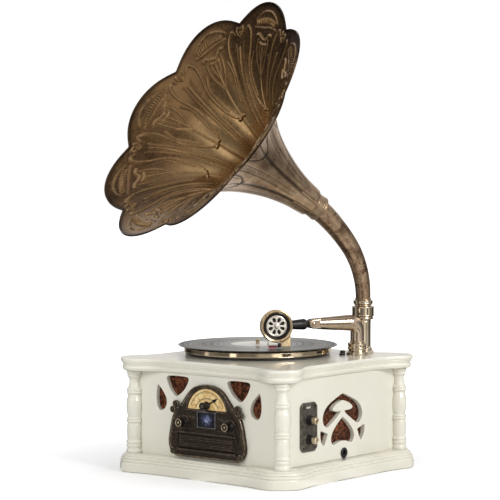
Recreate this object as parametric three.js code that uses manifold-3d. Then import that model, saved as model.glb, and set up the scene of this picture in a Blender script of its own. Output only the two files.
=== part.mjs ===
// A retro record player: a cream cabinet with turned corner columns, a turntable and a flower horn.
// Millimetres, +Z up. The front faces -Y and the right-hand side +X.
// The origin is under the middle of the cabinet, on the surface it stands on.
import * as THREE from "three";
import { mergeVertices } from "three/addons/utils/BufferGeometryUtils.js";
import Module from "manifold-3d";

const wasm = await Module();
wasm.setup();

// Driving dimensions of the cabinet
const cabinetHalf = 173;
const wall = 9;
const gap = 0.3;
const overrun = 2;
const edge = 0.9;
const weld = 1e-4;
const baseTop = 33;
const deckTop = 212;
const topBoardThickness = 24;
const recordDiameter = 301.6;

// Places on the deck, measured from its rear right-hand corner
const armInsetX = 53;
const armInsetY = 52;
const armX = cabinetHalf - armInsetX;
const armY = cabinetHalf - armInsetY;
const armClearance = 37.2;
const armBearing = THREE.MathUtils.degToRad(35.67);
const armDistance = recordDiameter / 2 + armClearance;
const spindleX = armX - armDistance * Math.cos(armBearing);
const spindleY = armY - armDistance * Math.sin(armBearing);
const postFromArmX = 13;
const postFromArmY = 36;
const postX = armX - postFromArmX;
const postY = armY + postFromArmY;
const leverFromArmX = 23;
const leverFromArmY = 15;
const leverX = armX - leverFromArmX;
const leverY = armY - leverFromArmY;

// Plan of the two moulded boards
const topBoardOverhang = 10;
const topBoardHalf = cabinetHalf + topBoardOverhang;
const topCornerOut = 28;
const topCornerCut = 4;
const baseBoardOverhang = 30;
const baseBoardHalf = cabinetHalf + baseBoardOverhang;
const baseCornerOut = 11;
const baseCornerCut = 25;
const ogeeLength = 74;
const ogeeSteps = 4;
const topMouldingDepth = 7;
const baseMouldingDepth = 13;
const baseFloor = 10;
const deckFloor = 10;
const pocketMargin = 14;

// Shares of a board's height (from its underside) and of its moulding depth (inwards)
const topProfileShares = [
  [0, 1], [0.2, 0.42], [0.34, 0.48], [0.42, 0.78], [0.68, 0.25], [0.72, 0.02], [0.9, 0], [1, 0.4],
];
const baseProfileShares = [
  [0, 0.12], [0.06, 0], [0.53, 0.05], [0.56, 0.16], [0.7, 0.2], [0.74, 0.36], [0.87, 0.5], [1, 0.9],
];

// Turned corner columns
const columnOffset = 3.7;
const columnAxis = cabinetHalf + columnOffset;
const columnRadius = 15.5;
const columnSides = 12;
const cornerPost = 11;
// Shares of the column's height and of its radius, from the foot up
const columnProfileShares = [
  [0, 1], [0.05, 0.88], [0.105, 0.95], [0.14, 0.87], [0.36, 0.8], [0.38, 0.92], [0.42, 0.8], [0.5, 1],
  [0.6, 0.84], [0.69, 0.8], [0.75, 0.98], [0.79, 0.78], [0.87, 0.68], [0.94, 0.92], [1, 1],
];

// Openings in the front panel
const petalWidth = 54;
const petalHeight = 37;
const petalTop = 181.5;
const petalCentre = 73;
const dropWidth = 26;
const dropHeight = 47.5;
const dropTop = 163.5;
const dropCentre = 112.5;
const outlineSteps = 3;
// Shares of width and height: a start point, then rows of control point and end point
const petalShares = [
  [-0.42, 0],
  [0, 0.06, 0.42, 0], [0.53, -0.05, 0.48, -0.22], [0.36, -0.72, 0.14, -0.95], [0.06, -1.02, -0.02, -0.94],
  [-0.34, -0.68, -0.48, -0.2], [-0.53, -0.03, -0.42, 0],
];
const dropShares = [
  [0.36, 0],
  [0.5, -0.26, 0.5, -0.55], [0.46, -0.98, 0.08, -0.99], [-0.34, -0.98, -0.48, -0.7],
  [-0.56, -0.42, 0.22, -0.04], [0.31, 0.02, 0.36, 0],
];

// Openings in the side panels, half of each, mirrored about the middle
const spadeCentre = 6;
const spadeWidth = 120;
const spadeHeight = 58;
const spadeTop = 152.5;
const spadeHalfShares = [
  [0, 0],
  [0.16, -0.11, 0.3, -0.24], [0.46, -0.38, 0.5, -0.66], [0.51, -0.9, 0.42, -0.99],
  [0.36, -1.02, 0.32, -0.95],
  [0.18, -0.78, 0.06, -0.61], [0.045, -0.56, 0.06, -0.545], [0.14, -0.56, 0.2, -0.54],
  [0.27, -0.51, 0.24, -0.42], [0.16, -0.28, 0, -0.21],
];
const heartWidth = 72;
const heartHeight = 49;
const heartTop = 109.5;
const heartHalfShares = [
  [0, 0],
  [0.24, -0.22, 0.4, -0.48], [0.54, -0.74, 0.46, -0.92], [0.4, -1.04, 0.28, -0.98], [0.14, -0.89, 0, -0.9],
];
const kerfWidth = 23;
const kerfHeight = 28;
const kerfTop = 89.5;
const kerfCentre = 56;
const kerfShares = [
  [0.42, 0],
  [0.5, -0.02, 0.5, -0.2], [0.5, -0.7, 0.1, -0.98], [-0.1, -1, -0.18, -0.8], [-0.36, -0.5, -0.48, -0.25],
  [-0.1, -0.14, 0.42, 0],
];

// Fascia
const fasciaOffset = 2;
const fasciaWidth = 188;
const fasciaHeight = 136;
const fasciaBottom = 36;
const fasciaThickness = 6;
const fasciaBevel = 1.4;
// Half outline of the fascia from the top: shares of its width and height
const fasciaHalfShares = [
  [0, 1],
  [0.16, 1, 0.234, 0.875], [0.3, 0.77, 0.35, 0.675], [0.4, 0.63, 0.425, 0.57], [0.455, 0.48, 0.47, 0.34],
  [0.51, 0.14, 0.455, 0.06], [0.42, 0.01, 0.385, 0], [0.2, 0, 0, 0],
];
const drawerWidth = 134;
const drawerHeight = 25;
const drawerRise = 17;
const drawerBottom = fasciaBottom + drawerRise;
const windowWidth = 42;
const windowHeight = 28;
const windowRise = 16;
const windowBottom = drawerBottom + drawerHeight + windowRise;
const windowFrame = 2.2;
const windowProud = 1;
const glassThickness = 2;
const glassRecess = 0.8;
const dialRadius = 47;
const dialRise = 3.5;
const dialBase = windowBottom + windowHeight + dialRise;
const dialSag = 8;
const dialCentre = dialBase - dialSag;
const dialRecess = 1.8;
const drawerFrontThickness = 4;
const drawerPanelMargin = 5;
const drawerPanelProud = 1.2;
const slotClearance = 1;
const trayThickness = 6;
const trayDepth = 136;
const trayRecess = 4.4;
const trayRise = 4;
const discDiameter = 122;
const discMargin = 2;
const ledgeHeight = 5;
const ledgeProud = 3;
const lowerLedgeHeight = 11;
const scrollRadius = 6.5;
const scrollProud = 3.5;
// Where the scrolls sit: shares of the fascia's width (from its middle) and height
const scrollShares = [[0.39, 0.71], [0.425, 0.63], [0.425, 0.07]];
const roundSides = 12;

// Knobs: a barrel, a ringed face and a shaft through the wall
const knobRadius = 8.8;
const knobLength = 15;
const knobSpread = 55;
const knobRise = 6;
const knobAxisHeight = windowBottom + knobRise;
const tuningRadius = 7;
const tuningLength = 13;
const tuningRise = 16.5;
const tuningHeight = dialCentre + tuningRise;
const shaftRadius = 3;
const shaftLength = 15;
const shaftClearance = 0.5;
const pointerMargin = 19;
const pointerLength = dialRadius - pointerMargin;
const pointerWidth = 2.4;
const pointerThickness = 1.2;
const pointerTilt = 29;
const knobFootRadiusShare = 1.12;
const knobFootShare = 0.14;
const knobWaistShare = 0.9;
const knobLipShare = 0.82;

// Control plate on the right-hand side
const plateWidth = 49;
const plateHeight = 89;
const plateThickness = 2.5;
const plateCorner = 7;
const plateInset = 74.5;
const plateCentreY = plateInset - cabinetHalf;
const plateCentreZ = 101;
const plateSlotWidth = 16;
const plateSlotHeight = 4;
const plateSlotDrop = 9;
const sideKnobRadius = 8.2;
const sideKnobLength = 18;
const sideKnobSpread = 35;
const sideKnobDrop = 5;
const jackRadius = 9.2;
const jackHole = 4;
const jackLength = 8;
const jackProud = 2.5;
const jackCentreY = 8.5;
const jackCentreZ = 42.8;

// Cloth and loudspeakers
const clothThickness = 1;
const frontClothMargin = 32;
const frontClothInner = 43;
const frontClothWidth = cabinetHalf - frontClothMargin - frontClothInner;
const frontClothHeight = 84;
const frontClothBottom = 102;
const frontClothCentre = frontClothInner + frontClothWidth / 2;
const sideClothWidth = 150;
const sideClothHeight = 112;
const sideClothBottom = 50;
const speakerRadius = 51;
const speakerDepth = 38;
const speakerCentreZ = 105;
// Shares of the driver's depth (inwards) and radius
const speakerShares = [
  [0.5, 0], [0.44, 0.2], [0.5, 0.26], [0.06, 0.86], [0, 0.88], [0, 1], [0.1, 1], [0.16, 0.9],
  [0.62, 0.46], [0.62, 0.58], [1, 0.58], [1, 0],
];

// Things inside the cabinet
const mechanismWidth = 152;
const mechanismDepth = 168;
const mechanismWall = 3;
const boardWidth = 142;
const boardMarginBelow = 10;
const boardMarginAbove = 8;
const boardBottom = knobAxisHeight - boardMarginBelow;
const boardHeight = tuningHeight + boardMarginAbove - boardBottom;
const boardThickness = 1.6;
const potWidth = 15;
const potDepth = 10;
const transformerWidth = 62;
const transformerDepth = 50;
const transformerHeight = 46;
const transformerX = -80;
const transformerInset = 63;
const transformerY = cabinetHalf - transformerInset;
const coilBulge = 8;

// Rear sockets
const inletWidth = 28;
const inletHeight = 22;
const inletDepth = 20;
const inletInset = 78;
const inletX = cabinetHalf - inletInset;
const inletZ = 64;
const inletFlange = 4;
const inletFlangeThickness = 3;
const inletPinWidth = 2.4;
const inletPinSpread = 7;
const inletCavityWall = 3;
const socketPlateWidth = 60;
const socketPlateHeight = 30;
const socketPlateX = 10;
const socketPlateZ = 64;
const socketPlateThickness = 2;
const socketRadius = 4.2;
const socketBore = 1.6;
const socketLength = 9;
const socketSpread = 30;
const ventWidth = 80;
const ventHeight = 5;
const ventPitch = 14;
const ventBottom = 120;
const ventCount = 4;

// Turntable
const recordThickness = 2;
const recordLift = 19.2;
const recordTop = deckTop + recordLift;
const recordLabelRadius = 50;
const labelRise = 0.25;
const spindleRadius = 3.55;
const spindleHole = 3.75;
const spindleCollar = 11;
const spindleRise = 9.8;
const spindleTop = recordTop + spindleRise;
const spindleDome = 2;
const matThickness = 2.3;
const recordOverhang = 11.3;
const platterRadius = recordDiameter / 2 - recordOverhang;
const matInset = 6.5;
const matRadius = platterRadius - matInset;
const platterThickness = 9.2;
const platterWeb = 3;
const platterRimWall = 5;
const hubRadius = 52;
const hubWall = 4;
const hubDrop = 11;
const skirtInset = 2.5;
const skirtRadius = platterRadius - skirtInset;
const skirtHeight = 3.6;
const skirtWall = 6;
const bearingRadius = 10;
const bearingFlange = 16;
const bearingFlangeThickness = 1.6;
const shaftFit = 0.06;
const bearingDepth = 26;
const pulleyRadius = 6;
const pulleyHeight = 7;
const pulleyShaftRadius = 1.2;
const pulleyX = 60;
const pulleyY = -30;
const beltThickness = 1;
const beltHeight = 4;
const motorRadius = 16;
const motorHeight = 22;
const motorHole = 8;
const turntableSides = 40;
const hubSides = 20;

// Base plate, tonearm and its head
const basePlateRadius = 20.5;
const basePlateThickness = 6;
const nutRadius = 18.5;
const nutStep = 4;
const nutStepRadius = 16.5;
const nutHeight = 12;
const armHeading = 245.4;
const armLift = 41.5;
const armLevel = recordTop + armLift;
const armRise = 1;
const armLegRadius = 13.1;
const armElbowRadius = 15.2;
const armEndRadius = 10;
const armBend = 17;
const armWall = 2;
const armSides = 12;
const forkReach = 97;
const forkWidth = 11;
const forkRadius = 9;
const forkSlotBack = 12;
const forkSlotStart = forkReach - forkSlotBack;
const pinRadius = 2;
const pinFit = 0.06;
const barrelRadius = 8.6;
const neckLength = 44;
const neckReach = forkReach + neckLength;
const neckRadius = 8.2;
const neckRootRadius = 10.2;
const headOffset = 30;
const headReach = neckReach + headOffset;
const headDrop = 0.5;
const headLevel = armLevel - headDrop;
const headTwist = 15;
const ringRadius = 30.4;
const ringWall = 5.2;
const ringDepth = 15;
const ringBead = 1.6;
const cupRadius = 24.8;
const cupStep = 4;
const rosetteRadius = 19.8;
const rosetteThickness = 2;
const rosetteHoles = 8;
const rosetteHoleRadius = 3;
const rosetteHoleStretch = 1.5;
const rosetteHoleCircle = 12;
const rosetteHub = 5;
const cartridgeLength = 22.5;
const cartridgeWidth = 12;
const cartridgeHeight = 6;
const cartridgeShift = 4.5;
const cartridgeHeel = 5.5;
const cartridgeHeelLift = 1.2;
const stylusLength = 16;
const stylusHeight = 3.6;
const stylusWidth = 4;
const stylusLift = 0.6;
const bracketWidth = 19;
const bracketShift = 17;
const bracketThickness = 10;
const bracketLift = 1.3;
const bracketReach = 16;
const leverLength = 22;
const leverWidth = 11;
const leverThickness = 3.4;
const leverHeading = 303;
const leverBossRadius = 5;
const leverBossHeight = 7;

// Horn post, swan neck and bell
const postRadius = 14.9;
const postBore = 11.6;
const postFlangeRadius = 17.5;
const postFlangeHeight = 4.5;
const postHeight = 64.1;
const postTop = deckTop + postHeight;
const postRingRadius = 20;
const postRingHeight = 5.6;
const collarRadius = 21.4;
const collarBottom = postTop + postRingHeight + gap;
const collarHeight = 18.7;
const collarRingRadius = 19;
const collarRise = 36.3;
const collarTop = postTop + collarRise;
const spigotRadius = 11;
const spigotWall = 2;
const spigotLength = 26;
const swanRadius = 14;
const swanEndRadius = 21.5;
const swanWall = 2;
const swanStraight = 6;
const swanTightBend = 164;
const swanTightAngle = 38.7;
const swanFlarePower = 1.3;
const swanSides = 12;
const swanSteps = 12;
const hornElevation = 32.4;
const hornTurn = 17.1;
const neckForward = 124.2;
const neckRise = 188.6;
const neckLevel = collarTop + neckRise;
const ferruleLength = 25;
const ferruleRadius = 23.7;
const ferruleRim = 1;
const ferruleSpigot = 8;
const bellLength = 276;
const bellNeckRadius = 27.7;
const bellValleyRadius = 224.3;
const bellTipRadius = 252.6;
const petalForward = 12.9;
const petalCount = 8;
const petalPhase = -14.6;
const flareSteps = 60;
const bellWall = 1.6;
const petalPower = 1.16;
const petalOnset = 5;
const creaseShare = 0.055;
// Shares of the bell's length and of the way from the neck's radius to the rim's
const bellProfileShares = [
  [0, 0], [0.15, 0.027], [0.3, 0.079], [0.45, 0.156], [0.6, 0.26], [0.75, 0.412], [0.88, 0.637], [1, 1],
];

// Cast relief inside the bell: a stem up each petal's middle with a knot on it, a whiplash line on
// both sides, a bar and a crescent across, and a rib with a boss where two petals meet.
const whipHalfWidth = 1.9;
const knotReach = 6;
const bossReach = 8.6;
const petalSide = 0.3;
// One row for each ring of points: the way along the bell, its bend at the petal's sides, the
// whiplash line's place and height, the stem's half width, height and height at its edges, the
// height across the middle, and the rib's half width, height and height at its edges
const reliefRows = [
  [0, 0, 0.5, 0, 1.7, 0, 0, 0, 2.2, 0, 0],
  [0.14, 0, 0.5, 0, 1.7, 0, 0, 0, 2.2, 0, 0],
  [0.27, 0, 0.5, 0, 1.7, 1.2, 0, 0, 2.2, 1.5, 0],
  [0.4, 0, 0.5, 0, 1.7, 1.4, 0, 0, 2.2, 1.5, 0],
  [0.52, 0, 0.5, 0, 1.7, 1.4, 0, 0, 2.2, 1.5, 0],
  [0.6, 0, 0.5, 0, 1.7, 1.4, 0, 0, 2.2, 1.5, 0],
  [0.641, 0, 0.42, 0, 4, 1.4, 0, 0, 2.2, 1.5, 0],
  [0.649, 0, 0.35, 0, knotReach, 3.2, 2.4, 0, 2.2, 1.5, 0],
  [0.657, 0, 0.18, 0.8, 1.7, 1.4, 0, 0, 2.2, 1.5, 0],
  [0.668, 0, 0.3, 1.5, 1.7, 1.4, 0, 0, 2.2, 1.5, 0],
  [0.7, 0, 0.46, 1.5, 1.7, 1.4, 0, 0, 2.2, 1.5, 0],
  [0.735, 0, 0.56, 1.5, 1.7, 1.4, 0, 0, 2.2, 1.5, 0],
  [0.79, 0, 0.64, 1.5, 1.7, 1.4, 0, 0, 2.2, 1.5, 0],
  [0.83, 0, 0.66, 1.5, 1.7, 1.4, 0, 0, 2.2, 1.5, 0],
  [0.872, 0, 0.62, 1.5, 1.7, 1.4, 0, 0, 2.2, 1.5, 0],
  [0.904, -0.02, 0.566, 1.5, 1.7, 1.4, 0, 0, 2.2, 1.5, 0],
  [0.911, -0.03, 0.565, 1.5, 1.7, 0, 0, 0, 2.2, 1.5, 0],
  [0.917, -0.03, 0.566, 1.5, 1.7, 0, 0, 2, 2.2, 1.5, 0],
  [0.923, -0.03, 0.568, 1.5, 1.7, 0, 0, 0, 2.2, 1.5, 0],
  [0.939, -0.03, 0.58, 1.5, 1.7, 0, 0, 0, 2.2, 1, 0],
  [0.946, -0.02, 0.61, 1.5, 1.7, 0, 0, -0.7, 3, 0, 0],
  [0.967, 0.02, 0.72, 1.2, 1.7, 0, 0, -0.7, bossReach, 1.2, 1.3],
  [0.977, 0.03, 0.8, 0, 1.7, 0, 0, 1.3, bossReach, 1.2, 1.3],
  [0.985, 0.02, 0.82, 0, 1.7, 0, 0, 0, 3, 0, 0],
  [1, 0, 0.82, 0, 1.7, 0, 0, 0, 2.2, 0, 0],
];
// The rows that the bell's outside has points at as well
const outsideRows = [0, 1, 2, 3, 4, 6, 10, 12, 14, 18, 21, 24];

// Materials
function finish(color, roughness, metalness) {
  return new THREE.MeshStandardMaterial({ color, roughness, metalness });
}
const cream = finish(0xe2e0d0, 0.45, 0);
const cloth = finish(0x4a2a1e, 0.95, 0);
const bronze = finish(0x8a6a45, 0.42, 0.85);
const brass = finish(0xb9a074, 0.28, 0.9);
const darkBronze = finish(0x3c322b, 0.5, 0.6);
const pewter = finish(0x77706a, 0.5, 0.6);
const blackPlastic = finish(0x151314, 0.35, 0);
const rubber = finish(0x1b1a1a, 0.9, 0);
const vinyl = finish(0x0c0c0d, 0.2, 0);
const steel = finish(0xb8babc, 0.35, 0.9);
const dialCream = finish(0xe6cf92, 0.5, 0);
const darkGlass = finish(0x10131c, 0.1, 0.1);
const circuitGreen = finish(0x1d4a2c, 0.6, 0);
const red = finish(0xc2283a, 0.4, 0);

const player = new THREE.Group();

function addPart(name, geometry, material, parent = player) {
  const mesh = new THREE.Mesh(geometry, material);
  mesh.name = name;
  parent.add(mesh);
  return mesh;
}

// Joining and cutting

function solidOf(geometry) {
  const plain = geometry.clone();
  for (const key of Object.keys(plain.attributes)) {
    if (key !== "position") plain.deleteAttribute(key);
  }
  const merged = mergeVertices(plain, weld);
  return new wasm.Manifold(
    new wasm.Mesh({
      numProp: 3,
      vertProperties: new Float32Array(merged.attributes.position.array),
      triVerts: new Uint32Array(merged.index.array),
    }),
  );
}

function geometryOf(solid) {
  const mesh = solid.getMesh();
  const geometry = new THREE.BufferGeometry();
  geometry.setAttribute("position", new THREE.BufferAttribute(mesh.vertProperties, 3));
  geometry.setIndex(new THREE.BufferAttribute(mesh.triVerts, 1));
  return geometry.toNonIndexed();
}

function join(first, ...others) {
  return geometryOf(others.reduce((sum, other) => sum.add(solidOf(other)), solidOf(first)));
}

function cut(first, ...tools) {
  return geometryOf(tools.reduce((rest, tool) => rest.subtract(solidOf(tool)), solidOf(first)));
}

// Basic shapes

function boxAt(width, depth, height, x, y, bottom) {
  return new THREE.BoxGeometry(width, depth, height).translate(x, y, bottom + height / 2);
}

function uprightCylinder(radius, height, x, y, bottom, sides = roundSides) {
  return new THREE.CylinderGeometry(radius, radius, height, sides)
    .rotateX(Math.PI / 2)
    .translate(x, y, bottom + height / 2);
}

// The radius of a many-sided bore whose flats lie clear of a round shaft.
function boreRound(radius, sides = roundSides) {
  return radius / Math.cos(Math.PI / sides);
}

// A lathe about +Z from points of [radius, height].
function turned(points, sides = roundSides) {
  const profile = points.map(([r, z]) => new THREE.Vector2(r, z));
  return new THREE.LatheGeometry(profile, sides).rotateX(Math.PI / 2);
}

// A ring about +Z with a rectangular section.
function ring(outer, inner, bottom, height, sides = roundSides) {
  return turned(
    [[inner, bottom], [outer, bottom], [outer, bottom + height], [inner, bottom + height], [inner, bottom]],
    sides,
  );
}

// A closed surface through rings that all have the same number of points.
function loft(rings, closedOnItself = false) {
  const count = rings[0].length;
  const points = rings.flat();
  const index = [];
  const spans = closedOnItself ? rings.length : rings.length - 1;
  for (let i = 0; i < spans; i++) {
    const a = i * count;
    const b = ((i + 1) % rings.length) * count;
    for (let j = 0; j < count; j++) {
      const k = (j + 1) % count;
      index.push(a + j, a + k, b + k, a + j, b + k, b + j);
    }
  }
  if (!closedOnItself) {
    capRing(points, index, 0, count, true);
    capRing(points, index, (rings.length - 1) * count, count, false);
  }
  const geometry = new THREE.BufferGeometry().setFromPoints(points);
  geometry.setIndex(index);
  return geometry.toNonIndexed();
}

function capRing(points, index, start, count, reversed) {
  const centre = new THREE.Vector3();
  for (let j = 0; j < count; j++) centre.addScaledVector(points[start + j], 1 / count);
  const hub = points.push(centre) - 1;
  for (let j = 0; j < count; j++) {
    const k = (j + 1) % count;
    if (reversed) index.push(hub, start + k, start + j);
    else index.push(hub, start + j, start + k);
  }
}

// Rings about a path, one for each point: square to the path, with radii of their own.
function pathRings(path, radii, sides, sideways) {
  return path.map((point, i) => {
    const before = path[Math.max(i - 1, 0)];
    const after = path[Math.min(i + 1, path.length - 1)];
    const along = after.clone().sub(before).normalize();
    const across = sideways.clone();
    const over = new THREE.Vector3().crossVectors(along, across).normalize();
    return Array.from({ length: sides }, (_, j) => {
      const turn = (2 * Math.PI * j) / sides;
      return point
        .clone()
        .addScaledVector(across, radii[i] * Math.cos(turn))
        .addScaledVector(over, radii[i] * Math.sin(turn));
    });
  });
}

// An outline from a table of shares: a start point, then rows of control point and end point.
function outlinePoints(shares, width, height) {
  const path = new THREE.Path();
  path.moveTo(shares[0][0] * width, shares[0][1] * height);
  for (const [cx, cy, x, y] of shares.slice(1)) {
    path.quadraticCurveTo(cx * width, cy * height, x * width, y * height);
  }
  return path.getPoints(outlineSteps);
}

function closedPoints(points) {
  const first = points[0];
  const last = points[points.length - 1];
  return first.distanceTo(last) < weld ? points.slice(0, -1) : points;
}

function mirroredPoints(shares, width, height) {
  const half = outlinePoints(shares, width, height);
  const mirrored = half.slice(1, -1).reverse().map((p) => new THREE.Vector2(-p.x, p.y));
  return half.concat(mirrored);
}

function movedHole(points, x, y, flip = 1) {
  const moved = closedPoints(points).map((p) => new THREE.Vector2(p.x * flip + x, p.y + y));
  return new THREE.Path(moved);
}

function rectangleShape(width, height, bottom = -height / 2) {
  return new THREE.Shape([
    new THREE.Vector2(-width / 2, bottom),
    new THREE.Vector2(width / 2, bottom),
    new THREE.Vector2(width / 2, bottom + height),
    new THREE.Vector2(-width / 2, bottom + height),
  ]);
}

function rectangleHole(width, height, x, bottom) {
  return movedHole(rectangleShape(width, height, 0).getPoints(), x, bottom);
}

function roundHole(radius, x, y) {
  const path = new THREE.Path();
  path.absarc(x, y, radius, 0, 2 * Math.PI);
  return new THREE.Path(closedPoints(path.getPoints(roundSides / 2)));
}

// An upright plate drawn in x and z, from front (its face towards -Y) back by its thickness.
function uprightPlate(shape, front, thickness) {
  return new THREE.ExtrudeGeometry(shape, { depth: thickness, bevelEnabled: false })
    .rotateX(Math.PI / 2)
    .translate(0, front + thickness, 0);
}

// Turned to the right-hand side: what was drawn along x now runs along y, and -Y is +X.
function turnedToRight(geometry) {
  return geometry.rotateZ(Math.PI / 2);
}

function turnedToLeft(geometry) {
  return geometry.rotateZ(-Math.PI / 2);
}

function turnedToRear(geometry) {
  return geometry.rotateZ(Math.PI);
}

// Moulded boards

function boardOutline(half, out, cornerCut, inset) {
  const straight = half - inset;
  const reach = half + out - inset;
  const corner = half - cornerCut - inset * (Math.SQRT2 - 1);
  const start = half - cornerCut - ogeeLength;
  const points = [];
  for (let side = 0; side < 4; side++) {
    const turn = (side * Math.PI) / 2;
    for (const [x, y] of cornerRun(straight, reach, corner, start)) {
      points.push([x * Math.cos(turn) - y * Math.sin(turn), x * Math.sin(turn) + y * Math.cos(turn)]);
    }
  }
  return points;
}

// The front edge flows out to the corner's flat face, and back to the right-hand edge.
function cornerRun(straight, reach, corner, start) {
  const run = [];
  for (let k = 0; k <= ogeeSteps; k++) {
    const share = k / ogeeSteps;
    const out = (reach - straight) * (0.5 - 0.5 * Math.cos(Math.PI * share));
    run.push([start + (corner - start) * share, -(straight + out)]);
  }
  const back = run.map(([x, y]) => [-y, -x]).reverse();
  return run.concat(back);
}

function mouldedBoard(half, out, cornerCut, bottom, height, depth, profileShares) {
  const rings = profileShares.map(([rise, inset]) =>
    boardOutline(half, out, cornerCut, inset * depth).map(
      ([x, y]) => new THREE.Vector3(x, y, bottom + rise * height),
    ),
  );
  return loft(rings);
}

function addBoards() {
  const base = mouldedBoard(
    baseBoardHalf, baseCornerOut, baseCornerCut, 0, baseTop, baseMouldingDepth, baseProfileShares,
  );
  const inside = 2 * (cabinetHalf - wall - pocketMargin);
  const basePocket = boxAt(inside, inside, baseTop, 0, 0, baseFloor);
  addPart("base_board", cut(base, basePocket), cream);

  const deckBottom = deckTop - topBoardThickness;
  const deck = mouldedBoard(
    topBoardHalf, topCornerOut, topCornerCut, deckBottom, topBoardThickness,
    topMouldingDepth, topProfileShares,
  );
  const pocketHeight = topBoardThickness - deckFloor;
  const pocket = boxAt(inside, inside, pocketHeight + overrun, 0, 0, deckBottom - overrun);
  const holeHeight = topBoardThickness + 2 * overrun;
  const holeBottom = deckBottom - overrun;
  const bearingHole = uprightCylinder(bearingRadius + gap, holeHeight, spindleX, spindleY, holeBottom);
  const pulleyHole = uprightCylinder(motorHole, holeHeight, pulleyCentre().x, pulleyCentre().y, holeBottom);
  addPart("deck_board", cut(deck, pocket, bearingHole, pulleyHole), cream);
}

function pulleyCentre() {
  return new THREE.Vector2(spindleX + pulleyX, spindleY + pulleyY);
}

// Columns

function addColumns() {
  const bottom = baseTop + gap;
  const height = deckTop - topBoardThickness - gap - bottom;
  const profile = columnProfileShares.map(([rise, share]) => [share * columnRadius, bottom + rise * height]);
  const points = [[0, bottom], ...profile, [0, bottom + height]];
  const places = { front_left: [-1, -1], front_right: [1, -1], rear_left: [-1, 1], rear_right: [1, 1] };
  for (const [place, [sx, sy]] of Object.entries(places)) {
    const post = boxAt(
      cornerPost, cornerPost, height,
      sx * (cabinetHalf - gap - cornerPost / 2), sy * (cabinetHalf - gap - cornerPost / 2), bottom,
    );
    const column = turned(points, columnSides).translate(sx * columnAxis, sy * columnAxis, 0);
    addPart("column_" + place, join(column, post), cream);
  }
}

// Panels

function panelShape() {
  const bottom = baseTop + gap;
  const height = deckTop - topBoardThickness - gap - bottom;
  const width = 2 * (cabinetHalf - gap - cornerPost - gap);
  return rectangleShape(width, height, bottom);
}

function panelSolid(shape) {
  return uprightPlate(shape, -cabinetHalf, wall);
}

function addFrontPanel() {
  const shape = panelShape();
  for (const side of [-1, 1]) {
    const petal = outlinePoints(petalShares, petalWidth, petalHeight);
    const drop = outlinePoints(dropShares, dropWidth, dropHeight);
    shape.holes.push(movedHole(petal, side * petalCentre, petalTop, side));
    shape.holes.push(movedHole(drop, side * dropCentre, dropTop, side));
  }
  const slotWidth = drawerWidth + 2 * slotClearance;
  const slotHeight = drawerHeight + 2 * slotClearance;
  shape.holes.push(rectangleHole(slotWidth, slotHeight, fasciaOffset, drawerBottom - slotClearance));
  shape.holes.push(rectangleHole(windowWidth, windowHeight, fasciaOffset, windowBottom));
  for (const [x, z] of fasciaShafts()) {
    shape.holes.push(roundHole(shaftRadius + shaftClearance, x, z));
  }
  addPart("front_panel", panelSolid(shape), cream);
}

function fasciaShafts() {
  return [
    [fasciaOffset - knobSpread, knobAxisHeight],
    [fasciaOffset + knobSpread, knobAxisHeight],
    [fasciaOffset, tuningHeight],
  ];
}

function pushSpadeHoles(shape, centre) {
  shape.holes.push(movedHole(mirroredPoints(spadeHalfShares, spadeWidth, spadeHeight), centre, spadeTop));
  shape.holes.push(movedHole(mirroredPoints(heartHalfShares, heartWidth, heartHeight), centre, heartTop));
  for (const side of [-1, 1]) {
    const kerf = outlinePoints(kerfShares, kerfWidth, kerfHeight);
    shape.holes.push(movedHole(kerf, centre + side * kerfCentre, kerfTop, side));
  }
}

function addSidePanels() {
  const right = panelShape();
  pushSpadeHoles(right, spadeCentre);
  for (const z of sideKnobLevels()) {
    right.holes.push(roundHole(shaftRadius + shaftClearance, plateCentreY, z));
  }
  right.holes.push(roundHole(jackRadius - jackProud + gap, jackCentreY, jackCentreZ));
  addPart("right_panel", turnedToRight(panelSolid(right)), cream);

  const left = panelShape();
  pushSpadeHoles(left, -spadeCentre);
  addPart("left_panel", turnedToLeft(panelSolid(left)), cream);
}

function sideKnobLevels() {
  const middle = plateCentreZ - sideKnobDrop;
  return [middle + sideKnobSpread / 2, middle - sideKnobSpread / 2];
}

function addRearPanel() {
  const shape = panelShape();
  const inletBottom = inletZ - inletHeight / 2 - gap;
  shape.holes.push(rectangleHole(inletWidth + 2 * gap, inletHeight + 2 * gap, inletX, inletBottom));
  for (const side of [-1, 1]) {
    shape.holes.push(roundHole(socketRadius + gap, socketPlateX + (side * socketSpread) / 2, socketPlateZ));
  }
  for (let i = 0; i < ventCount; i++) {
    shape.holes.push(rectangleHole(ventWidth, ventHeight, 0, ventBottom + i * ventPitch));
  }
  addPart("rear_panel", turnedToRear(panelSolid(shape)), cream);
}

// Fascia

const fasciaFront = -cabinetHalf - gap - fasciaThickness;

function fasciaShape() {
  const width = fasciaWidth - 2 * fasciaBevel;
  const outline = mirroredPoints(fasciaHalfShares, width, fasciaHeight - 2 * fasciaBevel);
  return new THREE.Shape(movedHole(outline, fasciaOffset, fasciaBottom + fasciaBevel).getPoints());
}

function dialPoints(radius, base) {
  const centre = dialCentre;
  const start = Math.asin((base - centre) / radius);
  const path = new THREE.Path();
  path.absarc(fasciaOffset, centre, radius, start, Math.PI - start);
  return path.getPoints(roundSides);
}

function addFascia() {
  const plate = new THREE.ExtrudeGeometry(fasciaShape(), {
    depth: fasciaThickness - 2 * fasciaBevel,
    bevelThickness: fasciaBevel,
    bevelSize: fasciaBevel,
    bevelSegments: 1,
  })
    .rotateX(Math.PI / 2)
    .translate(0, fasciaFront + fasciaThickness - fasciaBevel, 0);
  addPart("fascia", cut(join(plate, ...fasciaRelief()), ...fasciaOpenings()), darkBronze);
}

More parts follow.
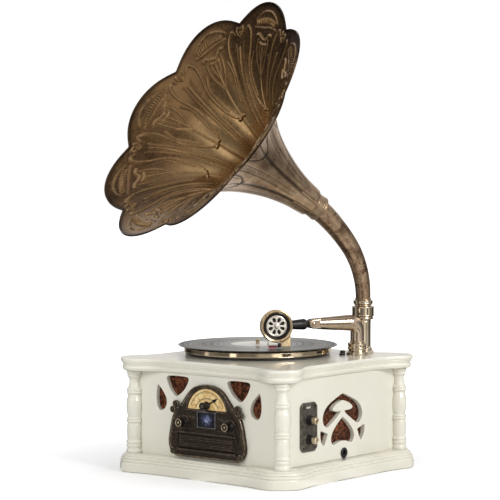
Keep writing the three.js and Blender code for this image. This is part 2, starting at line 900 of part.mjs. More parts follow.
function fasciaOpenings() {
  const slotWidth = drawerWidth + 2 * slotClearance;
  const slotHeight = drawerHeight + 2 * slotClearance;
  const outlines = [
    new THREE.Path(dialPoints(dialRadius, dialBase)),
    rectangleHole(windowWidth, windowHeight, fasciaOffset, windowBottom),
    rectangleHole(slotWidth, slotHeight, fasciaOffset, drawerBottom - slotClearance),
    ...fasciaShafts().slice(0, 2).map(([x, z]) => roundHole(shaftRadius + shaftClearance, x, z)),
  ];
  const depth = fasciaThickness + ledgeProud + 2 * overrun;
  return outlines.map((path) =>
    uprightPlate(new THREE.Shape(closedPoints(path.getPoints())), fasciaFront - ledgeProud - overrun, depth),
  );
}

function fasciaRelief() {
  const front = fasciaFront - ledgeProud;
  const depth = ledgeProud + fasciaThickness / 2;
  const middle = front + depth / 2;
  const bar = (width, height, bottom) => boxAt(width, depth, height, fasciaOffset, middle, bottom);
  const upperBottom = drawerBottom + drawerHeight + slotClearance;
  const upperLedge = bar(drawerWidth + 2 * ledgeHeight, ledgeHeight, upperBottom);
  const lowerTop = drawerBottom - slotClearance;
  const lowerLedge = bar(drawerWidth + 2 * ledgeHeight, lowerLedgeHeight, lowerTop - lowerLedgeHeight);
  const pieces = [upperLedge, lowerLedge];
  for (const [reach, rise] of scrollShares) {
    for (const side of [-1, 1]) {
      pieces.push(faceBoss(fasciaOffset + side * reach * fasciaWidth, fasciaBottom + rise * fasciaHeight));
    }
  }
  return pieces.concat(windowSurround());
}

// A short round boss that stands out of the fascia's face.
function faceBoss(x, z) {
  const depth = fasciaThickness + scrollProud - fasciaBevel;
  return new THREE.CylinderGeometry(scrollRadius, scrollRadius, depth, roundSides)
    .translate(x, fasciaFront - scrollProud + depth / 2, z);
}

function windowSurround() {
  const depth = windowProud + fasciaThickness / 2;
  return [boxAt(
    windowWidth + 2 * windowFrame, depth, windowHeight + 2 * windowFrame,
    fasciaOffset, fasciaFront - windowProud + depth / 2, windowBottom - windowFrame,
  )];
}

function addDial() {
  const shape = new THREE.Shape(dialPoints(dialRadius - gap, dialBase + gap));
  shape.holes.push(roundHole(shaftRadius + shaftClearance, fasciaOffset, tuningHeight));
  const front = fasciaFront + dialRecess;
  addPart("dial_plate", uprightPlate(shape, front, fasciaThickness - dialRecess), dialCream);
  const glass = boxAt(
    windowWidth - 2 * gap, glassThickness, windowHeight - 2 * gap,
    fasciaOffset, fasciaFront + glassRecess + glassThickness / 2, windowBottom + gap,
  );
  addPart("display_window", glass, darkGlass);
}

// A knob about +Z: a foot, a waisted barrel with a lip, and a thin shaft below.
function knobGeometry(radius, length, shaft) {
  const foot = radius * knobFootRadiusShare;
  const footTop = length * knobFootShare;
  const waist = radius * knobWaistShare;
  const lip = radius * knobLipShare;
  return turned([
    [0, -shaft], [shaftRadius, -shaft], [shaftRadius, 0], [foot, 0], [foot, footTop], [waist, footTop * 2],
    [waist, length - footTop], [radius, length - footTop / 2], [lip, length], [0, length],
  ]);
}

function faceKnob(name, radius, length, x, z, material) {
  const knob = knobGeometry(radius, length, shaftLength).rotateX(Math.PI / 2);
  addPart(name, knob.translate(x, fasciaFront - gap, z), material);
}

function addFasciaControls() {
  const [left, right] = fasciaShafts();
  faceKnob("left_knob", knobRadius, knobLength, left[0], left[1], blackPlastic);
  faceKnob("right_knob", knobRadius, knobLength, right[0], right[1], blackPlastic);
  faceKnob("tuning_knob", tuningRadius, tuningLength, fasciaOffset, tuningHeight, blackPlastic);
  addPointer();
}

// The pointer is a flat hand round the tuning knob's shaft, between the knob and the dial.
function addPointer() {
  const shape = new THREE.Shape();
  const half = pointerWidth / 2;
  shape.moveTo(0, -tuningRadius);
  shape.absarc(0, 0, tuningRadius, -Math.PI / 2, -half / tuningRadius, false);
  shape.lineTo(pointerLength, -half / 2);
  shape.lineTo(pointerLength, half / 2);
  shape.absarc(0, 0, tuningRadius, half / tuningRadius, Math.PI * 1.5, false);
  const outline = new THREE.Shape(closedPoints(shape.getPoints(outlineSteps * 2)));
  outline.holes.push(roundHole(shaftRadius + gap, 0, 0));
  const hand = uprightPlate(outline, 0, pointerThickness);
  hand.rotateY(-THREE.MathUtils.degToRad(pointerTilt));
  const back = fasciaFront + dialRecess - gap - pointerThickness;
  addPart("dial_pointer", hand.translate(fasciaOffset, back, tuningHeight), darkBronze);
}

// CD drawer and its housing

function addDrawer() {
  const front = fasciaFront - gap;
  const face = boxAt(
    drawerWidth, drawerFrontThickness, drawerHeight,
    fasciaOffset, front + drawerFrontThickness / 2, drawerBottom,
  );
  const panel = boxAt(
    drawerWidth - 2 * drawerPanelMargin, drawerPanelProud + gap, drawerHeight - 2 * drawerPanelMargin,
    fasciaOffset, front - drawerPanelProud / 2, drawerBottom + drawerPanelMargin,
  );
  const tray = boxAt(
    drawerWidth, trayDepth, trayThickness,
    fasciaOffset, front + trayDepth / 2, drawerBottom + trayRise,
  );
  const recess = uprightCylinder(
    discDiameter / 2, trayRecess + overrun,
    fasciaOffset, front + drawerFrontThickness + discMargin + discDiameter / 2,
    drawerBottom + trayRise + trayThickness - trayRecess, roundSides * 2,
  );
  addPart("cd_drawer", cut(join(face, panel, tray), recess), darkBronze);
}

function addMechanism() {
  const front = -cabinetHalf + wall + gap;
  const cavityBottom = drawerBottom + trayRise - gap;
  const bottom = cavityBottom - mechanismWall;
  const cavityHeight = drawerHeight - trayRise + gap;
  const height = cavityHeight + 2 * mechanismWall;
  const middle = front + mechanismDepth / 2;
  const box = boxAt(mechanismWidth, mechanismDepth, height, fasciaOffset, middle, bottom);
  const cavity = boxAt(
    drawerWidth + 2 * gap, mechanismDepth, cavityHeight,
    fasciaOffset, middle - mechanismWall, cavityBottom,
  );
  const legHeight = bottom - baseFloor;
  const legs = [-1, 1].map((side) =>
    boxAt(
      mechanismWall * 2, mechanismDepth, legHeight,
      fasciaOffset + side * (mechanismWidth / 2 - mechanismWall), middle,
      baseFloor + gap,
    ),
  );
  const slots = boxAt(
    mechanismWidth + overrun, mechanismDepth, baseTop + gap - baseFloor,
    fasciaOffset, front + pocketMargin + gap - mechanismDepth / 2, baseFloor,
  );
  addPart("cd_housing", cut(join(cut(box, cavity), ...legs), slots), steel);
}

function addElectronics() {
  const boardY = -cabinetHalf + wall + gap;
  const board = boxAt(
    boardWidth, boardThickness, boardHeight, fasciaOffset, boardY + boardThickness / 2, boardBottom,
  );
  const pots = fasciaShafts().map(([x, z]) =>
    boxAt(potWidth, potDepth, potWidth, x, boardY + boardThickness + potDepth / 2 - gap, z - potWidth / 2),
  );
  addPart("circuit_board", join(board, ...pots), circuitGreen);

  const bottom = baseFloor + gap;
  const core = boxAt(
    transformerWidth, transformerDepth, transformerHeight, transformerX, transformerY, bottom,
  );
  const coil = boxAt(
    transformerWidth - 2 * coilBulge, transformerDepth + 2 * coilBulge, transformerHeight - 2 * coilBulge,
    transformerX, transformerY, bottom + coilBulge,
  );
  addPart("transformer", join(core, coil), steel);
}

// Control plate and socket on the right-hand side

function clippedShape(width, height, corner) {
  const w = width / 2;
  const h = height / 2;
  const points = [
    [-w + corner, -h], [w - corner, -h], [w, -h + corner], [w, h - corner],
    [w - corner, h], [-w + corner, h], [-w, h - corner], [-w, -h + corner],
  ];
  return new THREE.Shape(points.map(([x, y]) => new THREE.Vector2(x, y)));
}

function addControlPlate() {
  const shape = clippedShape(plateWidth, plateHeight, plateCorner);
  const slotBottom = plateHeight / 2 - plateSlotDrop - plateSlotHeight / 2;
  shape.holes.push(rectangleHole(plateSlotWidth, plateSlotHeight, 0, slotBottom));
  for (const z of sideKnobLevels()) {
    shape.holes.push(roundHole(shaftRadius + shaftClearance, 0, z - plateCentreZ));
  }
  const front = -cabinetHalf - gap - plateThickness;
  const plate = uprightPlate(shape, front, plateThickness).translate(plateCentreY, 0, plateCentreZ);
  addPart("control_plate", turnedToRight(plate), pewter);
  sideKnobLevels().forEach((z, i) => {
    const knob = knobGeometry(sideKnobRadius, sideKnobLength, shaftLength + plateThickness)
      .rotateX(Math.PI / 2)
      .translate(plateCentreY, front - gap, z);
    addPart(i === 0 ? "upper_side_knob" : "lower_side_knob", turnedToRight(knob), blackPlastic);
  });
}

function addJack() {
  const body = jackRadius - jackProud;
  const profile = [
    [jackHole, -jackLength], [body, -jackLength], [body, gap], [jackRadius, gap],
    [jackRadius - jackProud / 2, jackProud], [jackHole, jackProud - gap], [jackHole, -jackLength],
  ];
  const jack = turned(profile)
    .rotateX(Math.PI / 2)
    .translate(jackCentreY, -cabinetHalf, jackCentreZ);
  addPart("headphone_socket", turnedToRight(jack), blackPlastic);
}

// Cloth and loudspeakers

function addCloths() {
  const front = -cabinetHalf + wall + gap;
  for (const [name, side] of [["front_cloth_left", -1], ["front_cloth_right", 1]]) {
    const shape = rectangleShape(frontClothWidth, frontClothHeight, frontClothBottom);
    const sheet = cut(uprightPlate(shape, front, clothThickness), boardCut(side * -frontClothCentre));
    addPart(name, sheet.translate(side * frontClothCentre, 0, 0), cloth);
  }
  for (const [name, centre, turn] of [
    ["right_cloth", spadeCentre, turnedToRight],
    ["left_cloth", -spadeCentre, turnedToLeft],
  ]) {
    const shape = rectangleShape(sideClothWidth, sideClothHeight, sideClothBottom);
    const sheet = uprightPlate(shape, front, clothThickness).translate(centre, 0, 0);
    addPart(name, turn(sheet), cloth);
    addSpeaker(name.replace("cloth", "speaker"), centre, turn);
  }
}

// The room that the circuit board needs beside the cloth.
function boardCut(x) {
  return boxAt(
    boardWidth + 2 * gap, 2 * overrun + clothThickness, boardHeight + 2 * gap,
    x + fasciaOffset, -cabinetHalf + wall, boardBottom - gap,
  );
}

function addSpeaker(name, centre, turn) {
  const front = -cabinetHalf + wall + gap + clothThickness + gap;
  const points = speakerShares.map(([depth, radius]) => [radius * speakerRadius, -depth * speakerDepth]);
  const speaker = turned(points.reverse(), hubSides)
    .rotateX(Math.PI / 2)
    .translate(centre, front, speakerCentreZ);
  addPart(name, turn(speaker), blackPlastic);
}

// Rear sockets

function addRearSockets() {
  const outside = -cabinetHalf - gap;
  const flange = boxAt(
    inletWidth + 2 * inletFlange, inletFlangeThickness, inletHeight + 2 * inletFlange,
    inletX, outside - inletFlangeThickness / 2, inletZ - inletHeight / 2 - inletFlange,
  );
  const body = boxAt(
    inletWidth, inletDepth, inletHeight, inletX, outside + inletDepth / 2 - gap, inletZ - inletHeight / 2,
  );
  const cavity = boxAt(
    inletWidth - 2 * inletCavityWall, inletDepth, inletHeight - 2 * inletCavityWall,
    inletX, outside + inletDepth / 2 - gap - 2 * inletCavityWall, inletZ - inletHeight / 2 + inletCavityWall,
  );
  const pins = [-1, 0, 1].map((k) =>
    boxAt(
      inletPinWidth, inletDepth - 2 * inletCavityWall, inletPinWidth * 2,
      inletX + k * inletPinSpread, outside + inletDepth / 2, inletZ - inletPinWidth,
    ),
  );
  addPart("mains_inlet", turnedToRear(join(cut(join(flange, body), cavity), ...pins)), blackPlastic);
  addSocketPlate(outside);
}

function addSocketPlate(outside) {
  const plate = boxAt(
    socketPlateWidth, socketPlateThickness, socketPlateHeight,
    socketPlateX, outside - socketPlateThickness / 2, socketPlateZ - socketPlateHeight / 2,
  );
  const sockets = [-1, 1].map((side) =>
    new THREE.CylinderGeometry(socketRadius, socketRadius, 2 * socketLength, roundSides)
      .translate(socketPlateX + (side * socketSpread) / 2, outside, socketPlateZ),
  );
  const bores = [-1, 1].map((side) =>
    new THREE.CylinderGeometry(socketBore, socketBore, 2 * socketLength, roundSides)
      .translate(socketPlateX + (side * socketSpread) / 2, outside - overrun, socketPlateZ),
  );
  addPart("rear_socket_plate", turnedToRear(cut(join(plate, ...sockets), ...bores)), blackPlastic);
}

// Turntable

const recordBottom = recordTop - recordThickness;
const matTop = recordBottom - gap;
const platterTop = matTop - matThickness - gap;
const platterBottom = platterTop - platterThickness;

function atSpindle(geometry) {
  return geometry.translate(spindleX, spindleY, 0);
}

function addTurntable() {
  const recordRadius = recordDiameter / 2;
  const flat = recordRadius - recordThickness / 2;
  const face = recordTop - labelRise;
  const record = turned([
    [spindleHole, recordBottom], [flat, recordBottom], [recordRadius, recordBottom + recordThickness / 2],
    [flat, face], [recordLabelRadius, face], [recordLabelRadius, recordTop], [spindleHole, recordTop],
    [spindleHole, recordBottom],
  ], turntableSides);
  addPart("record", atSpindle(record), vinyl);
  const mat = ring(matRadius, spindleRadius + gap, matTop - matThickness, matThickness, turntableSides);
  addPart("slip_mat", atSpindle(mat), rubber);
  addPart("platter", atSpindle(platterGeometry()), brass);
  const skirtTop = platterBottom - gap;
  const skirtInner = skirtRadius - skirtWall;
  const skirt = ring(skirtRadius, skirtInner, skirtTop - skirtHeight, skirtHeight, turntableSides);
  addPart("platter_skirt", atSpindle(skirt), blackPlastic);
  addSpindle();
  addDrive();
}

// A disc with a deep outer rim and, underneath, the inner rim that the belt runs on.
function platterGeometry() {
  const webBottom = platterTop - platterWeb;
  const hubBottom = platterTop - hubDrop;
  return turned([
    [spindleRadius + gap, webBottom], [hubRadius - hubWall, webBottom], [hubRadius - hubWall, hubBottom],
    [hubRadius, hubBottom], [hubRadius, webBottom], [platterRadius - platterRimWall, webBottom],
    [platterRadius - platterRimWall, platterBottom], [platterRadius, platterBottom],
    [platterRadius, platterTop - gap], [platterRadius - gap, platterTop],
    [spindleRadius + gap, platterTop], [spindleRadius + gap, webBottom],
  ], turntableSides);
}

function addSpindle() {
  const flangeBottom = deckTop + gap;
  const sleeveTop = flangeBottom + bearingFlangeThickness;
  const sleeveBottom = deckTop - bearingDepth;
  const bore = boreRound(spindleRadius + shaftFit);
  const sleeve = turned([
    [bore, sleeveBottom], [bearingRadius, sleeveBottom], [bearingRadius, flangeBottom],
    [bearingFlange, flangeBottom], [bearingFlange, sleeveTop], [bore, sleeveTop], [bore, sleeveBottom],
  ]);
  addPart("spindle_bearing", atSpindle(sleeve), steel);
  const webBottom = platterTop - platterWeb;
  const spindle = turned([
    [0, sleeveBottom], [spindleRadius, sleeveBottom], [spindleRadius, sleeveTop + gap],
    [spindleCollar, sleeveTop + gap], [spindleCollar, webBottom - gap], [spindleRadius, webBottom - gap],
    [spindleRadius, spindleTop - spindleDome], [spindleRadius / 2, spindleTop], [0, spindleTop],
  ]);
  addPart("spindle", atSpindle(spindle), brass);
}

function addDrive() {
  const centre = pulleyCentre();
  const hubBottom = platterTop - hubDrop;
  const motorTop = deckTop - deckFloor - gap;
  const pulley = turned([
    [0, motorTop - motorHeight / 2], [pulleyShaftRadius, motorTop - motorHeight / 2],
    [pulleyShaftRadius, hubBottom], [pulleyRadius, hubBottom],
    [pulleyRadius, hubBottom + pulleyHeight], [0, hubBottom + pulleyHeight],
  ]);
  addPart("motor_pulley", pulley.translate(centre.x, centre.y, 0), steel);
  const bore = boreRound(pulleyShaftRadius + shaftFit);
  const motor = turned([
    [0, motorTop - motorHeight], [motorRadius, motorTop - motorHeight], [motorRadius, motorTop],
    [bore, motorTop], [bore, motorTop - motorHeight / 2 - gap], [0, motorTop - motorHeight / 2 - gap],
  ]);
  addPart("motor", motor.translate(centre.x, centre.y, 0), steel);
  addBelt(centre, hubBottom);
}

// The belt lies round the inner rim and the pulley, on the two outer tangents.
function addBelt(centre, hubBottom) {
  const bottom = hubBottom + gap;
  const slack = 2 * gap;
  const outer = new THREE.Shape(
    tangentLoop(centre, hubRadius + slack + beltThickness, pulleyRadius + slack + beltThickness),
  );
  outer.holes.push(new THREE.Path(tangentLoop(centre, hubRadius + slack, pulleyRadius + slack)));
  const belt = new THREE.ExtrudeGeometry(outer, { depth: beltHeight, bevelEnabled: false });
  addPart("drive_belt", belt.translate(0, 0, bottom), rubber);
}

function tangentLoop(centre, big, small) {
  const from = new THREE.Vector2(spindleX, spindleY);
  const apart = centre.clone().sub(from);
  const heading = apart.angle();
  const lean = Math.acos((big - small) / apart.length());
  const path = new THREE.Path();
  path.absarc(from.x, from.y, big, heading + lean, heading - lean + 2 * Math.PI);
  path.absarc(centre.x, centre.y, small, heading - lean, heading + lean);
  return closedPoints(path.getPoints(hubSides / 2));
}

// Base plate and tonearm

const plateTop = deckTop + gap + basePlateThickness;
const armDirection = new THREE.Vector3(
  Math.cos(THREE.MathUtils.degToRad(armHeading)), Math.sin(THREE.MathUtils.degToRad(armHeading)), 0,
);
const armSide = new THREE.Vector3(-armDirection.y, armDirection.x, 0);

function addBasePlate() {
  const path = new THREE.Path();
  const heading = Math.atan2(postY - armY, postX - armX);
  path.absarc(postX, postY, basePlateRadius, heading - Math.PI / 2, heading + Math.PI / 2);
  path.absarc(armX, armY, basePlateRadius, heading + Math.PI / 2, heading + 1.5 * Math.PI);
  const shape = new THREE.Shape(closedPoints(path.getPoints(roundSides / 2)));
  const bevel = edge;
  const plate = new THREE.ExtrudeGeometry(shape, {
    depth: basePlateThickness - 2 * bevel, bevelThickness: bevel, bevelSize: bevel, bevelOffset: -bevel,
    bevelSegments: 1,
  });
  addPart("base_plate", plate.translate(0, 0, deckTop + gap + bevel), brass);
}

const nutTop = plateTop + gap + nutStep + nutHeight;

function addArmNut() {
  const bottom = plateTop + gap;
  const bore = armLegRadius - armWall + gap;
  const nut = turned([
    [bore, bottom], [nutStepRadius, bottom], [nutStepRadius, bottom + nutStep],
    [nutRadius, bottom + nutStep],
    [nutRadius, nutTop - edge], [nutRadius - edge, nutTop], [bore, nutTop], [bore, bottom],
  ], hubSides);
  addPart("arm_nut", nut.translate(armX, armY, 0), brass);
}

function armPoint(reach, level) {
  return new THREE.Vector3(armX, armY, level).addScaledVector(armDirection, reach);
}

// The leg rises from the nut, bends over and runs out level: points and radii along it.
function armRun(start, radiusDrop, end) {
  const points = [armPoint(0, start), armPoint(0, (start + armLevel - armBend) / 2)];
  const radii = [armLegRadius, armLegRadius];
  const steps = 5;
  for (let k = 0; k <= steps; k++) {
    const turn = (k / steps) * (Math.PI / 2);
    points.push(armPoint(armBend * (1 - Math.cos(turn)), armLevel - armBend + armBend * Math.sin(turn)));
    radii.push(THREE.MathUtils.lerp(armLegRadius, armElbowRadius, k / steps));
  }
  const straight = 2;
  for (let k = 1; k <= straight; k++) {
    const share = k / straight;
    points.push(armPoint(THREE.MathUtils.lerp(armBend, end, share), armLevel + armRise * share));
    radii.push(THREE.MathUtils.lerp(armElbowRadius, armEndRadius, share));
  }
  return { points, radii: radii.map((r) => r - radiusDrop) };
}

function addTonearm() {
  const outside = armRun(nutTop + gap, 0, forkReach);
  const tube = loft(pathRings(outside.points, outside.radii, armSides, armSide));
  const bore = armRun(nutTop - overrun, armWall, forkSlotStart + overrun);
  const hollow = loft(pathRings(bore.points, bore.radii, armSides, armSide));
  const pivot = armPoint(forkReach, armLevel + armRise);
  const cheeks = levelCylinder(forkRadius, 2 * armEndRadius, pivot);
  const slot = orientedBox(
    forkReach + 2 * forkRadius - forkSlotStart, forkWidth, 4 * armEndRadius,
    armPoint((forkReach + 2 * forkRadius + forkSlotStart) / 2, armLevel + armRise),
  );
  const pinHole = levelCylinder(boreRound(pinRadius + pinFit), 4 * armEndRadius, pivot);
  addPart("tonearm_tube", cut(join(cut(tube, hollow), cheeks, ...armFoot()), slot, pinHole), brass);
  addPart("arm_pin", levelCylinder(pinRadius, 2 * armEndRadius - gap, pivot), steel);
}

// The part of the arm that turns inside the nut, and the step by which it carries the leg.
function armFoot() {
  const bore = armLegRadius - 3 * armWall;
  const bottom = plateTop + 2 * gap;
  const spigot = ring(armLegRadius - armWall - gap, bore, bottom, nutTop + armWall - bottom);
  const step = ring(armLegRadius - armWall / 2, bore, nutTop + gap, armWall);
  return [spigot, step].map((piece) => piece.translate(armX, armY, 0));
}

// A cylinder across the arm, level, with its middle at a point.
function levelCylinder(radius, length, centre, sides = roundSides) {
  const cylinder = new THREE.CylinderGeometry(radius, radius, length, sides);
  return pointedAlong(cylinder, armSide).translate(centre.x, centre.y, centre.z);
}

function pointedAlong(geometry, direction) {
  return geometry.applyQuaternion(
    new THREE.Quaternion().setFromUnitVectors(new THREE.Vector3(0, 1, 0), direction),
  );
}

// A box whose length runs along the arm.
function orientedBox(length, width, height, centre) {
  return new THREE.BoxGeometry(length, width, height)
    .rotateZ(THREE.MathUtils.degToRad(armHeading))
    .translate(centre.x, centre.y, centre.z);
}

// Head of the tonearm

const headHeading = THREE.MathUtils.degToRad(armHeading - headTwist);
const headAlong = new THREE.Vector3(Math.cos(headHeading), Math.sin(headHeading), 0);
const headNormal = new THREE.Vector3(-headAlong.y, headAlong.x, 0);

function headCentre() {
  return armPoint(headReach, headLevel);
}

function headPoint(along, out, level) {
  return headCentre().addScaledVector(headAlong, along).addScaledVector(headNormal, out).setZ(level);
}

// Turned about the sound box's level axis: radius and distance towards its face.
function headTurned(points, sides = hubSides) {
  const centre = headCentre();
  const profile = points.map(([r, y]) => new THREE.Vector2(r, y));
  return pointedAlong(new THREE.LatheGeometry(profile, sides), headNormal)
    .translate(centre.x, centre.y, centre.z);
}

function headBox(length, width, height, along, out, bottom) {
  const centre = headPoint(along, out, bottom + height / 2);
  return new THREE.BoxGeometry(length, width, height)
    .rotateZ(headHeading)
    .translate(centre.x, centre.y, centre.z);
}

function addHead() {
  const level = armLevel + armRise;
  const barrel = levelCylinder(barrelRadius, forkWidth - 2 * gap, armPoint(forkReach, level));
  const neckPath = [armPoint(forkReach, level), armPoint(forkReach + forkRadius + 2 * gap, level),
    armPoint(forkReach + 2 * forkRadius, level), armPoint(neckReach, (level + headLevel) / 2)];
  const thin = (forkWidth - 2 * gap) / 2;
  const neck = loft(pathRings(neckPath, [thin, thin, neckRootRadius, neckRadius], armSides, armSide));
  const pinHole = levelCylinder(boreRound(pinRadius + pinFit), 2 * forkWidth, armPoint(forkReach, level));
  addPart("head_neck", cut(join(barrel, neck), ringTool(), pinHole), blackPlastic);
  addSoundBox();
  addCartridge();
}

function addSoundBox() {
  const half = ringDepth / 2;
  const inner = ringRadius - ringWall;
  const crown = ringRadius - ringBead;
  const side = half - ringBead;
  const ringProfile = [
    [inner, -half], [crown, -half], [ringRadius, -side], [ringRadius, side],
    [crown, half], [inner + ringBead, half], [inner, side], [inner, -half],
  ];
  addPart("sound_box_ring", headTurned(ringProfile), brass);
  const cupFront = half - 2 * ringBead;
  const cup = headTurned([
    [0, -half], [cupRadius, -half], [cupRadius, cupFront], [rosetteRadius + gap, cupFront - ringBead],
    [rosetteRadius + gap, cupFront - cupStep], [0, cupFront - cupStep],
  ]);
  addPart("sound_box_cup", cup, darkBronze);
  const seat = cupFront - cupStep + gap;
  const face = seat + rosetteThickness;
  const disc = headTurned([
    [0, seat], [rosetteRadius, seat], [rosetteRadius, face],
    [rosetteHub, face], [rosetteHub / 2, face + rosetteThickness], [0, face + rosetteThickness],
  ]);
  addPart("sound_box_rosette", cut(disc, ...rosetteCuts(seat)), brass);
}

function rosetteCuts(seat) {
  return Array.from({ length: rosetteHoles }, (_, i) => {
    const turn = (2 * Math.PI * (i + 0.5)) / rosetteHoles;
    const hole = new THREE.CylinderGeometry(rosetteHoleRadius, rosetteHoleRadius, 4 * rosetteThickness, 6);
    hole.scale(1, 1, rosetteHoleStretch).rotateY(-turn);
    const across = -rosetteHoleCircle * Math.sin(turn);
    hole.translate(across, seat + rosetteThickness, rosetteHoleCircle * Math.cos(turn));
    const centre = headCentre();
    return pointedAlong(hole, headNormal).translate(centre.x, centre.y, centre.z);
  });
}

// What the ring needs clear round it.
function ringTool() {
  return headTurned([
    [0, -ringDepth], [ringRadius + gap, -ringDepth], [ringRadius + gap, ringDepth], [0, ringDepth],
  ]);
}

function addCartridge() {
  const under = headLevel - ringRadius - gap;
  const stylusBottom = recordTop + stylusLift;
  const bottom = stylusBottom + stylusHeight;
  const body = headBox(
    cartridgeLength, cartridgeWidth, under + cartridgeHeight - bottom, cartridgeShift, 0, bottom,
  );
  const heelBottom = recordTop + cartridgeHeelLift;
  const back = cartridgeShift - cartridgeLength / 2;
  const heel = headBox(
    cartridgeHeel, cartridgeWidth, under - heelBottom, back + cartridgeHeel / 2, 0, heelBottom,
  );
  addPart("cartridge", cut(join(body, heel), ringTool()), blackPlastic);
  const stylusShift = back + cartridgeHeel + gap + stylusLength / 2;
  const stylus = headBox(
    stylusLength, stylusWidth, stylusHeight - gap, stylusShift, 0, stylusBottom,
  );
  addPart("stylus", stylus, red);
  addBracket(recordTop + bracketLift);
}

function addBracket(bottom) {
  const height = headLevel - bracketReach - bottom;
  const bracket = headBox(bracketWidth, bracketThickness, height, -bracketShift, 0, bottom);
  addPart("head_bracket", cut(bracket, ringTool()), brass);
}

function addLever() {
  const boss = uprightCylinder(leverBossRadius, leverBossHeight, leverX, leverY, deckTop + gap);
  const heading = THREE.MathUtils.degToRad(leverHeading);
  const paddle = new THREE.BoxGeometry(leverLength, leverWidth, leverThickness)
    .translate(leverLength / 2, 0, 0)
    .rotateZ(heading)
    .translate(leverX, leverY, deckTop + gap + leverThickness / 2);
  addPart("arm_lock_lever", join(boss, paddle), blackPlastic);
}

// Horn post

function atPost(geometry) {
  return geometry.translate(postX, postY, 0);
}

function addPost() {
  const bottom = plateTop + gap;
  const flangeTop = bottom + postFlangeHeight;
  const ringTop = postTop + postRingHeight;
  const post = turned([
    [postBore, bottom], [postFlangeRadius, bottom], [postFlangeRadius, flangeTop - edge],
    [postFlangeRadius - edge, flangeTop], [postRadius, flangeTop], [postRadius, postTop],
    [postRingRadius - edge, postTop], [postRingRadius, postTop + postRingHeight / 2],
    [postRingRadius - edge, ringTop], [postBore, ringTop], [postBore, bottom],
  ]);
  addPart("horn_post", atPost(post), brass);
  const collarEnd = collarBottom + collarHeight;
  const half = (collarTop - collarEnd) / 2;
  const collar = turned([
    [postBore, collarBottom], [collarRadius - edge, collarBottom], [collarRadius, collarBottom + edge],
    [collarRadius, collarEnd - edge], [collarRadius - edge, collarEnd], [postRadius + edge, collarEnd],
    [collarRingRadius - 2 * edge, collarEnd + half - edge], [collarRingRadius, collarEnd + half],
    [collarRingRadius, collarTop - edge], [collarRingRadius - edge, collarTop], [postBore, collarTop],
    [postBore, collarBottom],
  ]);
  addPart("horn_collar", atPost(collar), brass);
}

// Horn: everything lies in one upright plane through the post, turned from the front

const turnAngle = THREE.MathUtils.degToRad(hornTurn);
const rise = THREE.MathUtils.degToRad(hornElevation);
const forward = new THREE.Vector3(-Math.sin(turnAngle), -Math.cos(turnAngle), 0);
const sideways = new THREE.Vector3(-forward.y, forward.x, 0);
const hornAxis = forward.clone().multiplyScalar(Math.cos(rise)).setZ(Math.sin(rise));
const hornUp = new THREE.Vector3().crossVectors(hornAxis, sideways).normalize();

function hornPlane(ahead, level) {
  return new THREE.Vector3(postX, postY, level).addScaledVector(forward, ahead);
}

const neckPoint = hornPlane(neckForward, neckLevel);

// Up from the collar, then a tight bend and an easy one to the bell's axis.
function swanPath() {
  const tight = THREE.MathUtils.degToRad(swanTightAngle);
  const easy = Math.PI / 2 - rise - tight;
  const start = collarTop + gap;
  const bendStart = start + swanStraight;
  const points = [hornPlane(0, start)];
  for (let k = 0; k <= swanSteps / 2; k++) {
    const turn = (k / (swanSteps / 2)) * tight;
    points.push(hornPlane(swanTightBend * (1 - Math.cos(turn)), bendStart + swanTightBend * Math.sin(turn)));
  }
  const tightEnd = new THREE.Vector2(
    swanTightBend * (1 - Math.cos(tight)), bendStart + swanTightBend * Math.sin(tight),
  );
  const end = new THREE.Vector2(neckForward, neckLevel);
  const easyRadius = end.distanceTo(tightEnd) / (2 * Math.sin(easy / 2));
  const steps = swanSteps / 2;
  for (let k = 1; k <= steps; k++) {
    const turn = tight + (k / steps) * easy;
    const ahead = tightEnd.x + easyRadius * (Math.cos(tight) - Math.cos(turn));
    const level = tightEnd.y + easyRadius * (Math.sin(turn) - Math.sin(tight));
    points.push(hornPlane(ahead, level));
  }
  return points;
}

function swanRadii(points, drop) {
  const last = points.length - 1;
  return points.map((_, i) => {
    const share = Math.pow(i / last, swanFlarePower);
    return THREE.MathUtils.lerp(swanRadius, swanEndRadius, share) - drop;
  });
}

function addSwanNeck() {
  const path = swanPath();
  const outer = pathRings(path, swanRadii(path, 0), swanSides, sideways);
  const inner = pathRings(path, swanRadii(path, swanWall), swanSides, sideways).reverse();
  const tube = loft(outer.concat(inner), true);
  const bore = spigotRadius - spigotWall;
  const spigot = ring(spigotRadius, bore, collarTop - spigotLength, spigotLength + swanStraight);
  const foot = ring(swanRadius - swanWall / 2, bore, collarTop + gap, swanStraight / 2);
  addPart("horn_elbow", join(tube, atPost(spigot), atPost(foot)), bronze);
}

// A brass sleeve round the end of the swan neck, with a spigot that the bell is pushed over.
function addFerrule() {
  const bore = swanEndRadius + 4 * gap;
  const spigot = bellNeckRadius - bellWall - 2 * gap;
  const start = gap - ferruleLength;
  const sleeve = turned([
    [bore, start], [ferruleRadius + ferruleRim, start], [ferruleRadius + ferruleRim, start + 2 * ferruleRim],
    [ferruleRadius, start + 3 * ferruleRim], [ferruleRadius, -3 * ferruleRim], [spigot, -2 * ferruleRim],
    [spigot, ferruleSpigot], [bore, ferruleSpigot], [bore, start],
  ], hubSides);
  sleeve.applyQuaternion(new THREE.Quaternion().setFromUnitVectors(new THREE.Vector3(0, 0, 1), hornAxis));
  addPart("horn_ferrule", sleeve.translate(neckPoint.x, neckPoint.y, neckPoint.z), brass);
}

// The flare, as points of [way along the bell, way from the neck's radius to the rim's].
const flarePoints = new THREE.SplineCurve(
  bellProfileShares.map(([way, flare]) => new THREE.Vector2(way, flare)),
).getPoints(flareSteps);

